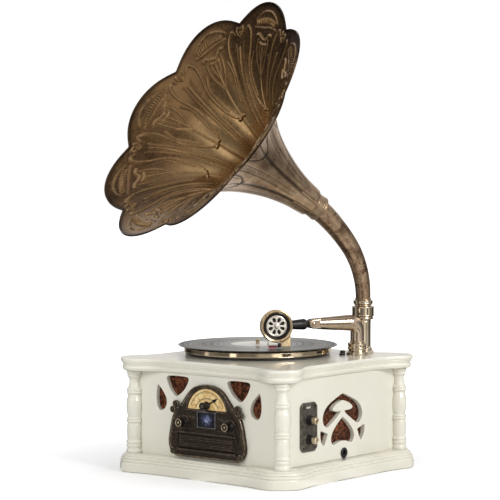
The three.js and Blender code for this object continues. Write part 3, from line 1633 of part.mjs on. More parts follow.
function bellFlare(way) {
  const next = flarePoints.findIndex((point) => point.x >= way);
  if (next < 0) return 1;
  if (next === 0) return 0;
  const [a, b] = [flarePoints[next - 1], flarePoints[next]];
  return THREE.MathUtils.lerp(a.y, b.y, (way - a.x) / (b.x - a.x));
}

// A point of the bell's outside: way from neck (0) to rim (1), and turn round the axis.
function bellPoint(way, turn) {
  const sector = (2 * Math.PI) / petalCount;
  const local = ((turn / sector) % 1) * 2 - 1;
  const lobe = Math.pow(Math.max(0, 1 - local * local), petalPower);
  const flare = bellFlare(way);
  const growth = THREE.MathUtils.lerp(Math.pow(way, petalOnset), flare, creaseShare);
  const valley = bellNeckRadius + (bellValleyRadius - bellNeckRadius) * flare;
  const radius = valley + (bellTipRadius - bellValleyRadius) * lobe * growth;
  const along = bellLength * way + petalForward * lobe * Math.pow(way, petalOnset);
  const angle = THREE.MathUtils.degToRad(petalPhase) - turn;
  return neckPoint
    .clone()
    .addScaledVector(hornAxis, along + gap)
    .addScaledVector(hornUp, radius * Math.cos(angle))
    .addScaledVector(sideways, radius * Math.sin(angle));
}

function bellNormal(way, turn) {
  const step = 1e-3;
  const down = bellPoint(Math.max(way - step, 0), turn);
  const up = bellPoint(Math.min(way + step, 1), turn);
  const here = bellPoint(way, turn);
  const round = here.clone().sub(axisPointNear(here));
  const along = up.sub(down).normalize();
  const across = new THREE.Vector3().crossVectors(along, round).normalize();
  return new THREE.Vector3().crossVectors(across, along).normalize();
}

function axisPointNear(point) {
  const along = point.clone().sub(neckPoint).dot(hornAxis);
  return neckPoint.clone().addScaledVector(hornAxis, along);
}

// Places across one petal, from valley to valley, each with its height in the relief.
function petalColumns(row) {
  const [way, , place, line, stemReach, stem, stemEdge, across, ribReach, rib, ribEdge] = row;
  const flare = bellFlare(way);
  const valley = bellNeckRadius + (bellValleyRadius - bellNeckRadius) * flare;
  const halfPetal = (Math.PI / petalCount) * valley;
  const stemSide = stemReach / halfPetal;
  const lineSide = whipHalfWidth / halfPetal;
  const between = (stemSide + place - lineSide) / 2;
  const half = [
    [stemSide, stemEdge + across],
    [between, across],
    [place - lineSide, 0],
    [place, line],
    [place + lineSide, 0],
    [1 - ribReach / halfPetal, ribEdge],
  ];
  const mirrored = half.map(([local, height]) => [-local, height]).reverse();
  return [[-1, rib], ...mirrored, [0, stem + across], ...half];
}

// One ring of the bell's points on its outside, or inside with the relief.
function bellRing(row, isInside) {
  const [way, bend] = row;
  const ring = [];
  for (let petal = 0; petal < petalCount; petal++) {
    for (const [local, height] of petalColumns(row)) {
      const bent = way - bend * Math.min(local * local, petalSide);
      const turn = ((2 * Math.PI) / petalCount) * (petal + (local + 1) / 2);
      const point = bellPoint(bent, turn);
      if (isInside) point.addScaledVector(bellNormal(bent, turn), -bellWall - height);
      ring.push(point);
    }
  }
  return ring;
}

function addBell() {
  const outside = outsideRows.map((index) => bellRing(reliefRows[index], false));
  const inside = reliefRows.map((row) => bellRing(row, true)).reverse();
  addPart("horn_bell", loft(outside.concat(inside), true), bronze);
}

addBoards();
addColumns();
addFrontPanel();
addSidePanels();
addRearPanel();
addFascia();
addDial();
addFasciaControls();
addDrawer();
addMechanism();
addElectronics();
addControlPlate();
addJack();
addCloths();
addRearSockets();
addTurntable();
addBasePlate();
addArmNut();
addTonearm();
addHead();
addLever();
addPost();
addSwanNeck();
addFerrule();
addBell();

export default player;
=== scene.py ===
"""Looks of the retro record player: a cream cabinet with turned columns, a turntable and a flower
horn. Lengths are millimetres in the frame of the CAD part, and the meshes are made in metres.
"""

import math

import bmesh
import bpy
import numpy as np
from mathutils import Matrix, Vector
from mathutils.geometry import tessellate_polygon


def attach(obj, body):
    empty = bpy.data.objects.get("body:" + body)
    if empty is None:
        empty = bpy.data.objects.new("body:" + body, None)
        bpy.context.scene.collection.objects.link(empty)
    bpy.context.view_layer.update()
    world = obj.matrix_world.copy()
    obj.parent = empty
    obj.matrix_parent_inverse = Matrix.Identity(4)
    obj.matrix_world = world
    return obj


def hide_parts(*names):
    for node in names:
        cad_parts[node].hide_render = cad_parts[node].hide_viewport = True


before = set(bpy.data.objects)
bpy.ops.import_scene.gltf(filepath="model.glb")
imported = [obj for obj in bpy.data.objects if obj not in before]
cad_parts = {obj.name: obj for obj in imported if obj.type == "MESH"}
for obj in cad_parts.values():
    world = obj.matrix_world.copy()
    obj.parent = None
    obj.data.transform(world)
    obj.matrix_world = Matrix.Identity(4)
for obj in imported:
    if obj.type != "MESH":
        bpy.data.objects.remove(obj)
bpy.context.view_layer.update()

MM = 0.001
TAU = 2 * math.pi
TINY = 1e-6

# Cabinet
CABINET = 173
WALL = 9
GAP = 0.3
BASE_TOP = 33
DECK_TOP = 212
DECK_BOTTOM = 188
POCKET = 150
SPINDLE = np.array([-32.729, 11.374])
ARM = np.array([120.0, 121.0])
POST = np.array([107.0, 157.0])
LEVER = np.array([97.0, 106.0])

# Fascia
FASCIA_X = 2
FASCIA_FACE = 179.3
FASCIA_BOTTOM = 36
DIAL_CENTRE = 117.5
DIAL_BASE = 125.5
WINDOW_MIDDLE = 107
KNOB_LEVEL = 100
KNOB_PLACES = (-53, 57)
TUNING_LEVEL = 134

# Turntable and arm
RECORD_TOP = 231.2
NUT_TOP = 234.6
ARM_LEVEL = 272.7
ARM_HEADING = math.radians(245.4)
ARM_ALONG = np.array([math.cos(ARM_HEADING), math.sin(ARM_HEADING), 0.0])
ARM_ACROSS = np.array([-ARM_ALONG[1], ARM_ALONG[0], 0.0])
FORK_REACH = 97
HEAD_REACH = 171
HEAD_LEVEL = 272.2
HEAD_HEADING = math.radians(230.4)
HEAD_ALONG = np.array([math.cos(HEAD_HEADING), math.sin(HEAD_HEADING), 0.0])
HEAD_NORMAL = np.array([-HEAD_ALONG[1], HEAD_ALONG[0], 0.0])
UP = np.array([0.0, 0.0, 1.0])


# A shell is an array of points in millimetres, and faces as lists of the points' numbers


def grid_faces(rows, columns, closed=False):
    """Four-sided faces between rings of points; closed joins the last ring to the first."""
    row_count = rows if closed else rows - 1
    row, column = np.meshgrid(np.arange(row_count), np.arange(columns), indexing="ij")
    next_row = (row + 1) % rows
    next_column = (column + 1) % columns
    corners = [
        row * columns + column,
        row * columns + next_column,
        next_row * columns + next_column,
        next_row * columns + column,
    ]
    return np.stack(corners, -1).reshape(-1, 4).tolist()


def merged(*shells):
    """Several shells as one."""
    points = []
    faces = []
    start = 0
    for shell_points, shell_faces in shells:
        points.append(np.asarray(shell_points, float))
        faces.extend([[i + start for i in face] for face in shell_faces])
        start += len(shell_points)
    return np.concatenate(points), faces


def loft(rings, closed=False):
    """A surface through rings with equal numbers of points, with flat ends unless it closes on itself."""
    count = len(rings[0])
    points = np.concatenate(rings)
    faces = grid_faces(len(rings), count, closed)
    if not closed:
        faces.append(list(range(count))[::-1])
        faces.append(list(range(len(points) - count, len(points))))
    return points, faces


def lathe(profile, sides, flutes=0, flute_depth=0.0, flute_span=(0, 0)):
    """A turned form about +Z from points of (radius, height). The line runs from pole to pole, where
    the radius is 0, or it is a closed loop."""
    turns = np.arange(sides) * TAU / sides
    rows = []
    points = []
    count = 0
    for radius, height in profile:
        if radius < TINY:
            points.append(np.array([[0.0, 0.0, height]]))
            rows.append(np.full(sides, count))
            count += 1
            continue
        wave = np.zeros(sides)
        if flutes and flute_span[0] <= height <= flute_span[1]:
            wave = flute_depth * (0.5 - 0.5 * np.cos(turns * flutes))
        reach = radius - wave
        ring = [reach * np.cos(turns), reach * np.sin(turns), np.full(sides, float(height))]
        points.append(np.stack(ring, 1))
        rows.append(count + np.arange(sides))
        count += sides
    faces = []
    pairs = list(zip(rows, rows[1:]))
    if profile[0][0] > TINY:
        pairs.append((rows[-1], rows[0]))
    for low, high in pairs:
        for j in range(sides):
            k = (j + 1) % sides
            corners = [low[j], low[k], high[k], high[j]]
            face = [int(c) for i, c in enumerate(corners) if c != corners[i - 1]]
            faces.append(face)
    return np.concatenate(points), faces


LARGEST_CUT = 0.48


def rounded(points, radius, steps, closed=False):
    """The same line with each corner replaced by a curve that starts at most radius away from it."""
    points = [np.array(p, float) for p in points]
    made = []
    for i, here in enumerate(points):
        if not closed and i in (0, len(points) - 1):
            made.append(here)
            continue
        before = points[i - 1]
        after = points[(i + 1) % len(points)]
        back = np.linalg.norm(before - here)
        ahead = np.linalg.norm(after - here)
        start = here + (before - here) * min(radius / back, LARGEST_CUT)
        end = here + (after - here) * min(radius / ahead, LARGEST_CUT)
        for k in range(steps + 1):
            t = k / steps
            made.append((1 - t) ** 2 * start + 2 * t * (1 - t) * here + t * t * end)
    return np.array(made)


def turned(profile, softness, sides, steps=3, **flutes):
    """A lathe form with softened corners."""
    return lathe(rounded(profile, softness, steps, profile[0][0] > TINY), sides, **flutes)


def spline(points, steps):
    """A Catmull-Rom curve through the points."""
    points = np.array(points, float)
    padded = np.vstack([2 * points[0] - points[1], points, 2 * points[-1] - points[-2]])
    made = []
    for i in range(1, len(padded) - 2):
        a, b, c, d = padded[i - 1 : i + 3]
        for k in range(steps):
            t = k / steps
            cubic = 3 * b - 3 * c + d - a
            square = 2 * a - 5 * b + 4 * c - d
            made.append(b + 0.5 * t * (c - a + t * (square + t * cubic)))
    made.append(points[-1])
    return np.array(made)


def sweep(path, radii, sides, over, closed=False, flatten=1.0):
    """A tube along a path; flatten is its height over its width, along the direction over."""
    path = np.array(path, float)
    radii = np.broadcast_to(np.asarray(radii, float), (len(path),))
    if closed:
        tangents = np.roll(path, -1, 0) - np.roll(path, 1, 0)
    else:
        tangents = np.gradient(path, axis=0)
    tangents /= np.linalg.norm(tangents, axis=1)[:, None]
    turns = np.arange(sides) * TAU / sides
    rings = []
    for point, tangent, radius in zip(path, tangents, radii):
        lift = over - tangent * (over @ tangent)
        lift = lift / np.linalg.norm(lift)
        across = np.cross(tangent, lift)
        ring = point + radius * (
            np.outer(np.cos(turns), across) + flatten * np.outer(np.sin(turns), lift)
        )
        rings.append(ring)
    return loft(rings, closed)


def block(size, centre, radius):
    """A box with rounded edges."""
    made = bmesh.new()
    bmesh.ops.create_cube(made, size=1)
    for vertex in made.verts:
        vertex.co = Vector(v * s + c for v, s, c in zip(vertex.co, size, centre))
    bmesh.ops.bevel(
        made, geom=list(made.edges), offset=radius, segments=2, profile=0.5, affect="EDGES"
    )
    made.verts.index_update()
    points = np.array([v.co for v in made.verts])
    faces = [[v.index for v in face.verts] for face in made.faces]
    made.free()
    return points, faces


# Flat outlines

CURVE_STEPS = 14
FEWEST_POINTS = 12
SAME_PLACE = 0.01


def quadratics(shares, width, height):
    """An outline from a table of shares: a start point, then rows of control point and end point."""
    here = np.array(shares[0], float)
    made = [here]
    for cx, cy, x, y in shares[1:]:
        control = np.array([cx, cy])
        end = np.array([x, y])
        for t in np.arange(1, CURVE_STEPS + 1) / CURVE_STEPS:
            made.append((1 - t) ** 2 * here + 2 * t * (1 - t) * control + t * t * end)
        here = end
    return np.array(made) * [width, height]


def mirrored(half):
    """A whole outline from its right half."""
    return np.concatenate([half, half[1:-1][::-1] * [-1, 1]])


def resampled(points, spacing=1.0, count=0):
    """A closed loop with even steps, and the length of a step."""
    loop = np.vstack([points, points[:1]])
    along = np.concatenate([[0], np.cumsum(np.linalg.norm(np.diff(loop, axis=0), axis=1))])
    count = count or max(FEWEST_POINTS, int(along[-1] / spacing))
    at = np.arange(count) * along[-1] / count
    return np.stack([np.interp(at, along, loop[:, i]) for i in (0, 1)], 1), along[-1] / count


def evened(points, spacing=0.9, passes=3):
    """A closed outline with even steps and slightly softened corners, anticlockwise."""
    points = np.array(points, float)
    if np.linalg.norm(points[0] - points[-1]) < SAME_PLACE:
        points = points[:-1]
    made = resampled(points, spacing)[0]
    for _ in range(passes):
        made = 0.25 * np.roll(made, 1, 0) + 0.5 * made + 0.25 * np.roll(made, -1, 0)
    x, y = made[:, 0], made[:, 1]
    area = np.sum(x * np.roll(y, -1) - y * np.roll(x, -1))
    return made if area > 0 else made[::-1]


def rectangle(width, height, x, bottom, radius, steps=3):
    """A rectangle with round corners, anticlockwise, its points close enough for a bevel."""
    made = []
    for cx, cy, start in [(1, 0, -90), (1, 1, 0), (0, 1, 90), (0, 0, 180)]:
        corner_x = x + (cx - 0.5) * (width - 2 * radius)
        corner_y = bottom + radius + cy * (height - 2 * radius)
        for k in range(steps + 1):
            turn = math.radians(start + 90 * k / steps)
            made.append([corner_x + radius * math.cos(turn), corner_y + radius * math.sin(turn)])
    return np.array(made)


def circle(radius, x=0.0, y=0.0, sides=40):
    turns = np.arange(sides) * TAU / sides
    return np.stack([x + radius * np.cos(turns), y + radius * np.sin(turns)], 1)


def offset(loop, inwards):
    """An anticlockwise loop moved to its inside."""
    ahead = np.roll(loop, -1, 0) - loop
    back = loop - np.roll(loop, 1, 0)
    ahead /= np.linalg.norm(ahead, axis=1)[:, None] + TINY
    back /= np.linalg.norm(back, axis=1)[:, None] + TINY
    normal = np.stack([-(ahead + back)[:, 1], (ahead + back)[:, 0]], 1)
    normal /= np.linalg.norm(normal, axis=1)[:, None] + TINY
    stretch = 1 / np.clip(np.abs(np.sum(normal * np.stack([-ahead[:, 1], ahead[:, 0]], 1), 1)), 0.6, 1)
    return loop + normal * (inwards * stretch)[:, None]


def filled(loops, start_indices):
    """Triangles between a loop and the holes in it, as indices that start at each loop's own."""
    flat = []
    for loop, start in zip(loops, start_indices):
        flat.extend(range(start, start + len(loop)))
    triangles = tessellate_polygon([[Vector((x, y, 0)) for x, y in loop] for loop in loops])
    return [[flat[i] for i in triangle] for triangle in triangles]


def plate(outer, holes=(), *, thickness, bevel, hole_bevel=0.6, steps=3, sink=0.0):
    """A flat plate with round edges towards its face; points are (right, up, depth behind the face)."""
    points = []
    faces = []
    front = []
    back = []
    count = 0
    for number, loop in enumerate([outer, *holes]):
        side = 1 if number == 0 else -1
        radius = bevel if number == 0 else hole_bevel
        rows = []
        for k in range(steps + 1):
            turn = k / steps * math.pi / 2
            rows.append((radius * (1 - math.sin(turn)), radius * (1 - math.cos(turn))))
        rows.append((0.0, thickness))
        rings = []
        for inset, depth in rows:
            flat = offset(loop, side * inset)
            rings.append(np.column_stack([flat, np.full(len(flat), depth + sink)]))
        faces.extend([[i + count for i in f] for f in grid_faces(len(rings), len(loop))])
        front.append((rings[0][:, :2], count))
        back.append((rings[-1][:, :2], count + len(loop) * (len(rings) - 1)))
        points.extend(rings)
        count += len(loop) * len(rings)
    for caps in (front, back):
        faces.extend(filled([loop for loop, _ in caps], [start for _, start in caps]))
    return np.concatenate(points), faces


# Placing shells

SIDES = {
    "front": (np.array([1.0, 0.0, 0.0]), np.array([0.0, 1.0, 0.0])),
    "right": (np.array([0.0, 1.0, 0.0]), np.array([-1.0, 0.0, 0.0])),
    "left": (np.array([0.0, -1.0, 0.0]), np.array([1.0, 0.0, 0.0])),
    "rear": (np.array([-1.0, 0.0, 0.0]), np.array([0.0, -1.0, 0.0])),
}


def on_side(shell, side, stand):
    """A shell of (right, up, depth) points on one side of the cabinet, its face stand from the middle."""
    right, inwards = SIDES[side]
    points, faces = shell
    placed = np.outer(points[:, 0], right) + np.outer(points[:, 1], UP)
    return placed + np.outer(points[:, 2] - stand, inwards), faces


def facing(shell, across, level):
    """A turned shell about +Z as (right, up, depth) points, so that it points out of a side."""
    points, faces = shell
    return np.column_stack([points[:, 0] + across, points[:, 1] + level, -points[:, 2]]), faces


def moved(shell, x, y):
    return shell[0] + np.array([x, y, 0.0]), shell[1]


def aimed(shell, direction, centre):
    """A shell about +Z turned so that +Z points along a direction."""
    turn = np.array(Vector((0, 0, 1)).rotation_difference(Vector(direction)).to_matrix())
    return shell[0] @ turn.T + centre, shell[1]


def laid(shell, top, centre=(0.0, 0.0), heading=0.0):
    """A plate laid flat with its face at the level top."""
    points, faces = shell
    x = centre[0] + points[:, 0] * math.cos(heading) - points[:, 1] * math.sin(heading)
    y = centre[1] + points[:, 0] * math.sin(heading) + points[:, 1] * math.cos(heading)
    return np.column_stack([x, y, top - points[:, 2]]), faces


# Shader nodes


def add_node(tree, kind, inputs=None, **settings):
    """A shader node; an input is a value or another node's socket."""
    made = tree.nodes.new("ShaderNode" + kind)
    for key, value in settings.items():
        setattr(made, key, value)
    for key, value in (inputs or {}).items():
        if isinstance(value, bpy.types.NodeSocket):
            tree.links.new(value, made.inputs[key])
        else:
            made.inputs[key].default_value = value
    return made


def linear(colour):
    """A shader colour from the usual 0 to 255 values."""
    made = []
    for value in colour:
        share = value / 255
        made.append(share / 12.92 if share <= 0.04045 else ((share + 0.055) / 1.055) ** 2.4)
    return (*made, 1.0)


def noise(tree, coords, scale, detail=4.0, distortion=0.0):
    inputs = {"Vector": coords, "Scale": scale, "Detail": detail, "Distortion": distortion}
    return add_node(tree, "TexNoise", inputs).outputs["Fac"]


def ramp(tree, fac, stops):
    """A colour ramp; stops are pairs of place and linear colour."""
    made = add_node(tree, "ValToRGB", {"Fac": fac})
    elements = made.color_ramp.elements
    while len(elements) < len(stops):
        elements.new(0.5)
    for element, (position, colour) in zip(elements, stops):
        element.position = position
        element.color = (*colour[:3], 1.0)
    return made.outputs["Color"]


def spread(tree, value, low, high, source=(0.3, 0.7)):
    """The value moved from the range source to the range low to high, and held inside it."""
    inputs = {
        "Value": value, "From Min": source[0], "From Max": source[1], "To Min": low, "To Max": high,
    }
    return add_node(tree, "MapRange", inputs).outputs["Result"]


def maths(tree, operation, first, second=0.0, third=0.0):
    return add_node(tree, "Math", {0: first, 1: second, 2: third}, operation=operation).outputs[0]


def blended(tree, fac, first, second):
    inputs = {0: fac, 6: first, 7: second}
    return add_node(tree, "Mix", inputs, data_type="RGBA", blend_type="MIX").outputs[2]


def axes(tree, coords):
    return add_node(tree, "SeparateXYZ", {"Vector": coords}).outputs


def diagonal(tree, x, y):
    squares = [maths(tree, "MULTIPLY", value, value) for value in (x, y)]
    return maths(tree, "SQRT", maths(tree, "ADD", *squares))


def radial(tree, coords, centre):
    """Distance from an upright axis, in metres."""
    parts = axes(tree, coords)
    sides = [maths(tree, "SUBTRACT", parts[i], centre[i] * MM) for i in (0, 1)]
    return diagonal(tree, *sides)


def bumped(tree, shader, height, strength, distance):
    inputs = {"Height": height, "Strength": strength, "Distance": distance * MM}
    made = add_node(tree, "Bump", inputs)
    tree.links.new(made.outputs["Normal"], shader.inputs["Normal"])


# Materials


def start_material(name):
    material = bpy.data.materials.new(name)
    material.use_nodes = True
    tree = material.node_tree
    coords = add_node(tree, "TexCoord").outputs["Object"]
    return material, tree, tree.nodes["Principled BSDF"], coords


def set_shader(tree, shader, colour, roughness, **constants):
    """Links or sets the colour and the roughness, and sets the plain values on their own sockets."""
    for key, value in (("Base Color", colour), ("Roughness", roughness)):
        if isinstance(value, bpy.types.NodeSocket):
            tree.links.new(value, shader.inputs[key])
        else:
            shader.inputs[key].default_value = value
    for key, value in constants.items():
        shader.inputs[key.replace("_", " ")].default_value = value


COAT_ROUGHNESS = 0.17
PLAIN_BUMP = 0.6


def plain_finish(name, dark, light, roughness, metallic, patch, grain, relief, coat=0.0):
    """A painted, plated or moulded finish: soft patches of colour, uneven gloss and a fine grain."""
    material, tree, shader, coords = start_material(name)
    fine = noise(tree, coords, grain, 3.0)
    colour = ramp(tree, noise(tree, coords, patch), [(0.35, dark), (0.65, light)])
    set_shader(
        tree, shader, colour, spread(tree, fine, *roughness), Metallic=metallic, Coat_Weight=coat,
        Coat_Roughness=COAT_ROUGHNESS,
    )
    bumped(tree, shader, fine, PLAIN_BUMP, relief)
    return material


FINE_SHARE = 0.24
FINE_DEPTH = 0.025
BRONZE_METALLIC = 0.9
# Colour of the painted shade in the throat and along the rim of the bell
PAINTED_SHADE_COLOUR = linear((40, 28, 18))


def bronze_finish(name, stops, roughness, patch, streak, bright=None, relief_shadow=None, middle_highlight=None):
    """Mottled brown patina. On the bell, attributes paint light and shade into the colour: a painted
    highlight on raised relief, painted shadow beside the lines and in sunk parts, a painted highlight
    across the middle of the petals, and painted shade in the throat and along the rim."""
    material, tree, shader, coords = start_material(name)
    cloud = noise(tree, coords, patch, 5.0, 0.6)
    fine = noise(tree, coords, streak, 2.0, 0.3)
    mixed = maths(tree, "MULTIPLY", cloud, 1 - FINE_SHARE)
    mixed = maths(tree, "MULTIPLY_ADD", fine, FINE_SHARE, mixed)
    colour = ramp(tree, mixed, [(place, linear(shade)) for place, shade in stops])

    def attribute(key):
        return add_node(tree, "Attribute", attribute_name=key).outputs["Fac"]

    # Painted highlight: a lighter gold band across the middle of the petals.
    if middle_highlight:
        share = maths(tree, "MULTIPLY", attribute("middle_highlight"), spread(tree, cloud, 0.3, 1.0))
        colour = blended(tree, share, colour, linear(middle_highlight))
    # Painted highlight on raised relief, painted shadow beside the lines and in sunk parts, and painted
    # shade from the shade attribute.
    if bright:
        relief = attribute("relief")
        colour = blended(tree, spread(tree, relief, 0.0, 0.75, (0.2, 1.0)), colour, linear(bright))
        colour = blended(tree, spread(tree, relief, 0.0, 0.95, (-0.04, -0.36)), colour, linear(relief_shadow))
        colour = blended(tree, attribute("shade"), colour, PAINTED_SHADE_COLOUR)
    set_shader(tree, shader, colour, spread(tree, fine, *roughness), Metallic=BRONZE_METALLIC)
    bumped(tree, shader, fine, 1.0, FINE_DEPTH)
    return material


TWILL = 1240.0
TWILL_SLOPE = 0.8
WEFT_RATE = 1.3


def weave_finish():
    """Red-brown speaker cloth: slanting ribs crossed by level threads, and a fuzz over both."""
    material, tree, shader, coords = start_material("speaker_cloth_weave")
    parts = axes(tree, coords)
    across = maths(tree, "ADD", parts[0], parts[1])
    slant = maths(tree, "ADD", across, maths(tree, "MULTIPLY", parts[2], TWILL_SLOPE))
    rib = maths(tree, "SINE", maths(tree, "MULTIPLY", slant, TWILL))
    weft = maths(tree, "SINE", maths(tree, "MULTIPLY", parts[2], WEFT_RATE * TWILL))
    thread = maths(tree, "MULTIPLY_ADD", weft, 0.6, rib)
    fuzz = spread(tree, noise(tree, coords, 260.0, 2.0), 0.0, 0.5, (0.35, 0.65))
    mixed = maths(tree, "ADD", fuzz, spread(tree, thread, 0.0, 0.5, (-1.3, 1.3)))
    stops = [(0.2, linear((14, 8, 6))), (0.5, linear((50, 26, 16))), (0.85, linear((150, 88, 54)))]
    set_shader(
        tree, shader, ramp(tree, mixed, stops), 0.9, Sheen_Weight=0.02, Specular_IOR_Level=0.2
    )
    bumped(tree, shader, thread, 0.8, 0.3)
    return material


def vinyl_finish(name, dark, light, roughness, pitch, specular):
    """Black vinyl with fine circular grooves."""
    material, tree, shader, coords = start_material(name)
    reach = radial(tree, coords, SPINDLE)
    groove = maths(tree, "SINE", maths(tree, "MULTIPLY", reach, TAU / (pitch * MM)))
    bands = noise(tree, add_node(tree, "CombineXYZ", {0: reach}).outputs[0], 130.0, 3.0)
    colour = ramp(tree, bands, [(0.3, linear(dark)), (0.7, linear(light))])
    set_shader(
        tree, shader, colour, spread(tree, bands, *roughness), Specular_IOR_Level=specular,
        Anisotropic=0.85,
    )
    tangent = add_node(tree, "Tangent", direction_type="RADIAL", axis="Z")
    tree.links.new(tangent.outputs[0], shader.inputs["Tangent"])
    bumped(tree, shader, groove, 0.3, 0.02)
    return material


# Reach of the painted reflection from the window's middle, in metres
REFLECTION_REACH = 0.03


def glass_finish():
    """Dark display window with a painted bluish reflection in its middle."""
    material, tree, shader, coords = start_material("dark_display_glass")
    cloud = noise(tree, coords, 210.0, 3.0, 0.8)
    parts = axes(tree, coords)
    aside = maths(tree, "SUBTRACT", parts[0], FASCIA_X * MM)
    above = maths(tree, "SUBTRACT", parts[2], WINDOW_MIDDLE * MM)
    reach = maths(tree, "MULTIPLY_ADD", cloud, 0.026, diagonal(tree, aside, above))
    # Painted reflection: pale blue in the middle, fading to near black at the edges.
    stops = [
        (0.3, linear((168, 176, 202))), (0.52, linear((122, 130, 162))), (0.72, linear((48, 52, 78))),
        (0.92, linear((12, 12, 20))),
    ]
    colour = ramp(tree, spread(tree, reach, 0.0, 1.0, (0.0, REFLECTION_REACH)), stops)
    set_shader(tree, shader, colour, spread(tree, cloud, 0.04, 0.12), Coat_Weight=0.6)
    bumped(tree, shader, cloud, 0.05, 0.1)
    return material


# Plain finishes: the record's slot, the material's name, dark and light colour from 0 to 255,
# least and most roughness, metallic, rates of the patches and of the grain, relief in millimetres, coat
PLAIN_FINISHES = {
    "brass": ("champagne_brass", "champagne_brass_plate", (194, 178, 153), (224, 210, 187),
              (0.08, 0.15), 1.0, 14, 260, 0.01),
    "arm_brass": ("champagne_brass", "satin_arm_brass", (176, 156, 135), (212, 193, 170),
                  (0.17, 0.27), 1.0, 18, 260, 0.008),
    "satin_brass": ("champagne_brass", "satin_sleeve_brass", (128, 105, 83), (176, 151, 123),
                    (0.32, 0.42), 0.9, 40, 260, 0.004),
    "bright_brass": ("champagne_brass", "bright_platter_brass", (206, 184, 150), (234, 216, 188),
                     (0.05, 0.1), 1.0, 20, 300, 0.01),
    "tip_gold": ("champagne_brass", "side_knob_gold", (214, 196, 164), (240, 226, 200),
                 (0.3, 0.4), 1.0, 60, 300, 0.006),
    "ring_gold": ("champagne_brass", "sound_box_gold", (204, 180, 142), (236, 216, 180),
                  (0.08, 0.18), 1.0, 60, 300, 0.015),
    "pale_metal": ("champagne_brass", "pale_rosette_metal", (206, 200, 190), (236, 230, 220),
                   (0.2, 0.32), 0.9, 80, 500, 0.02),
    "dark_bronze": ("dark_bronze", "dark_bronze_paint", (60, 51, 44), (88, 77, 67),
                    (0.24, 0.34), 0.8, 320, 900, 0.01),
    # Lighter rubbed bronze for raised lines, partly to paint highlights on them
    "rubbed_bronze": ("dark_bronze", "rubbed_highlight_bronze_edges", (98, 87, 75), (160, 146, 128),
                      (0.14, 0.24), 1.0, 160, 700, 0.006),
    "pewter": ("pewter_plate", "aged_pewter_paint", (90, 84, 76), (130, 122, 112),
               (0.26, 0.4), 0.75, 90, 600, 0.07),
    "black": ("black_plastic", "black_moulded_plastic", (17, 15, 15), (30, 27, 26),
              (0.22, 0.34), 0.0, 60, 1200, 0.03),
    "dish_bronze": ("dark_bronze", "dark_dish_bronze", (16, 11, 9), (36, 28, 23),
                    (0.4, 0.55), 0.4, 90, 600, 0.05),
    "matt_black": ("black_plastic", "black_satin_neck", (20, 17, 16), (36, 31, 28),
                   (0.34, 0.46), 0.2, 60, 900, 0.05),
    "rubber": ("rubber", "black_rubber", (26, 25, 25), (40, 38, 38),
               (0.7, 0.9), 0.0, 90, 1500, 0.08),
    "steel": ("steel", "zinc_plated_steel", (150, 150, 152), (190, 190, 194),
              (0.25, 0.4), 0.95, 40, 600, 0.04),
    "dial_cream": ("dial_cream", "printed_dial_cream", (222, 182, 116), (244, 216, 156),
                   (0.4, 0.5), 0.0, 70, 500, 0.02),
    "dial_ink": ("dark_bronze", "dial_ink", (52, 34, 20), (76, 52, 32),
                 (0.5, 0.6), 0.0, 200, 900, 0.01),
    "red": ("red_plastic", "red_stylus_plastic", (190, 26, 38), (222, 44, 52),
            (0.3, 0.4), 0.0, 100, 900, 0.02),
    "ivory": ("black_plastic", "ivory_cartridge_plastic", (226, 220, 208), (240, 236, 226),
              (0.3, 0.4), 0.0, 90, 900, 0.02),
    "label_paper": ("vinyl", "record_label_paper", (228, 222, 216), (246, 243, 238),
                    (0.4, 0.55), 0.0, 60, 1500, 0.02, 0.6),
    "circuit_green": ("circuit_green", "green_circuit_board", (20, 62, 34), (34, 92, 52),
                      (0.4, 0.55), 0.0, 120, 900, 0.05),
}
CREAM_DARK = (0.79, 0.76, 0.645)
CREAM_LIGHT = (0.825, 0.80, 0.69)


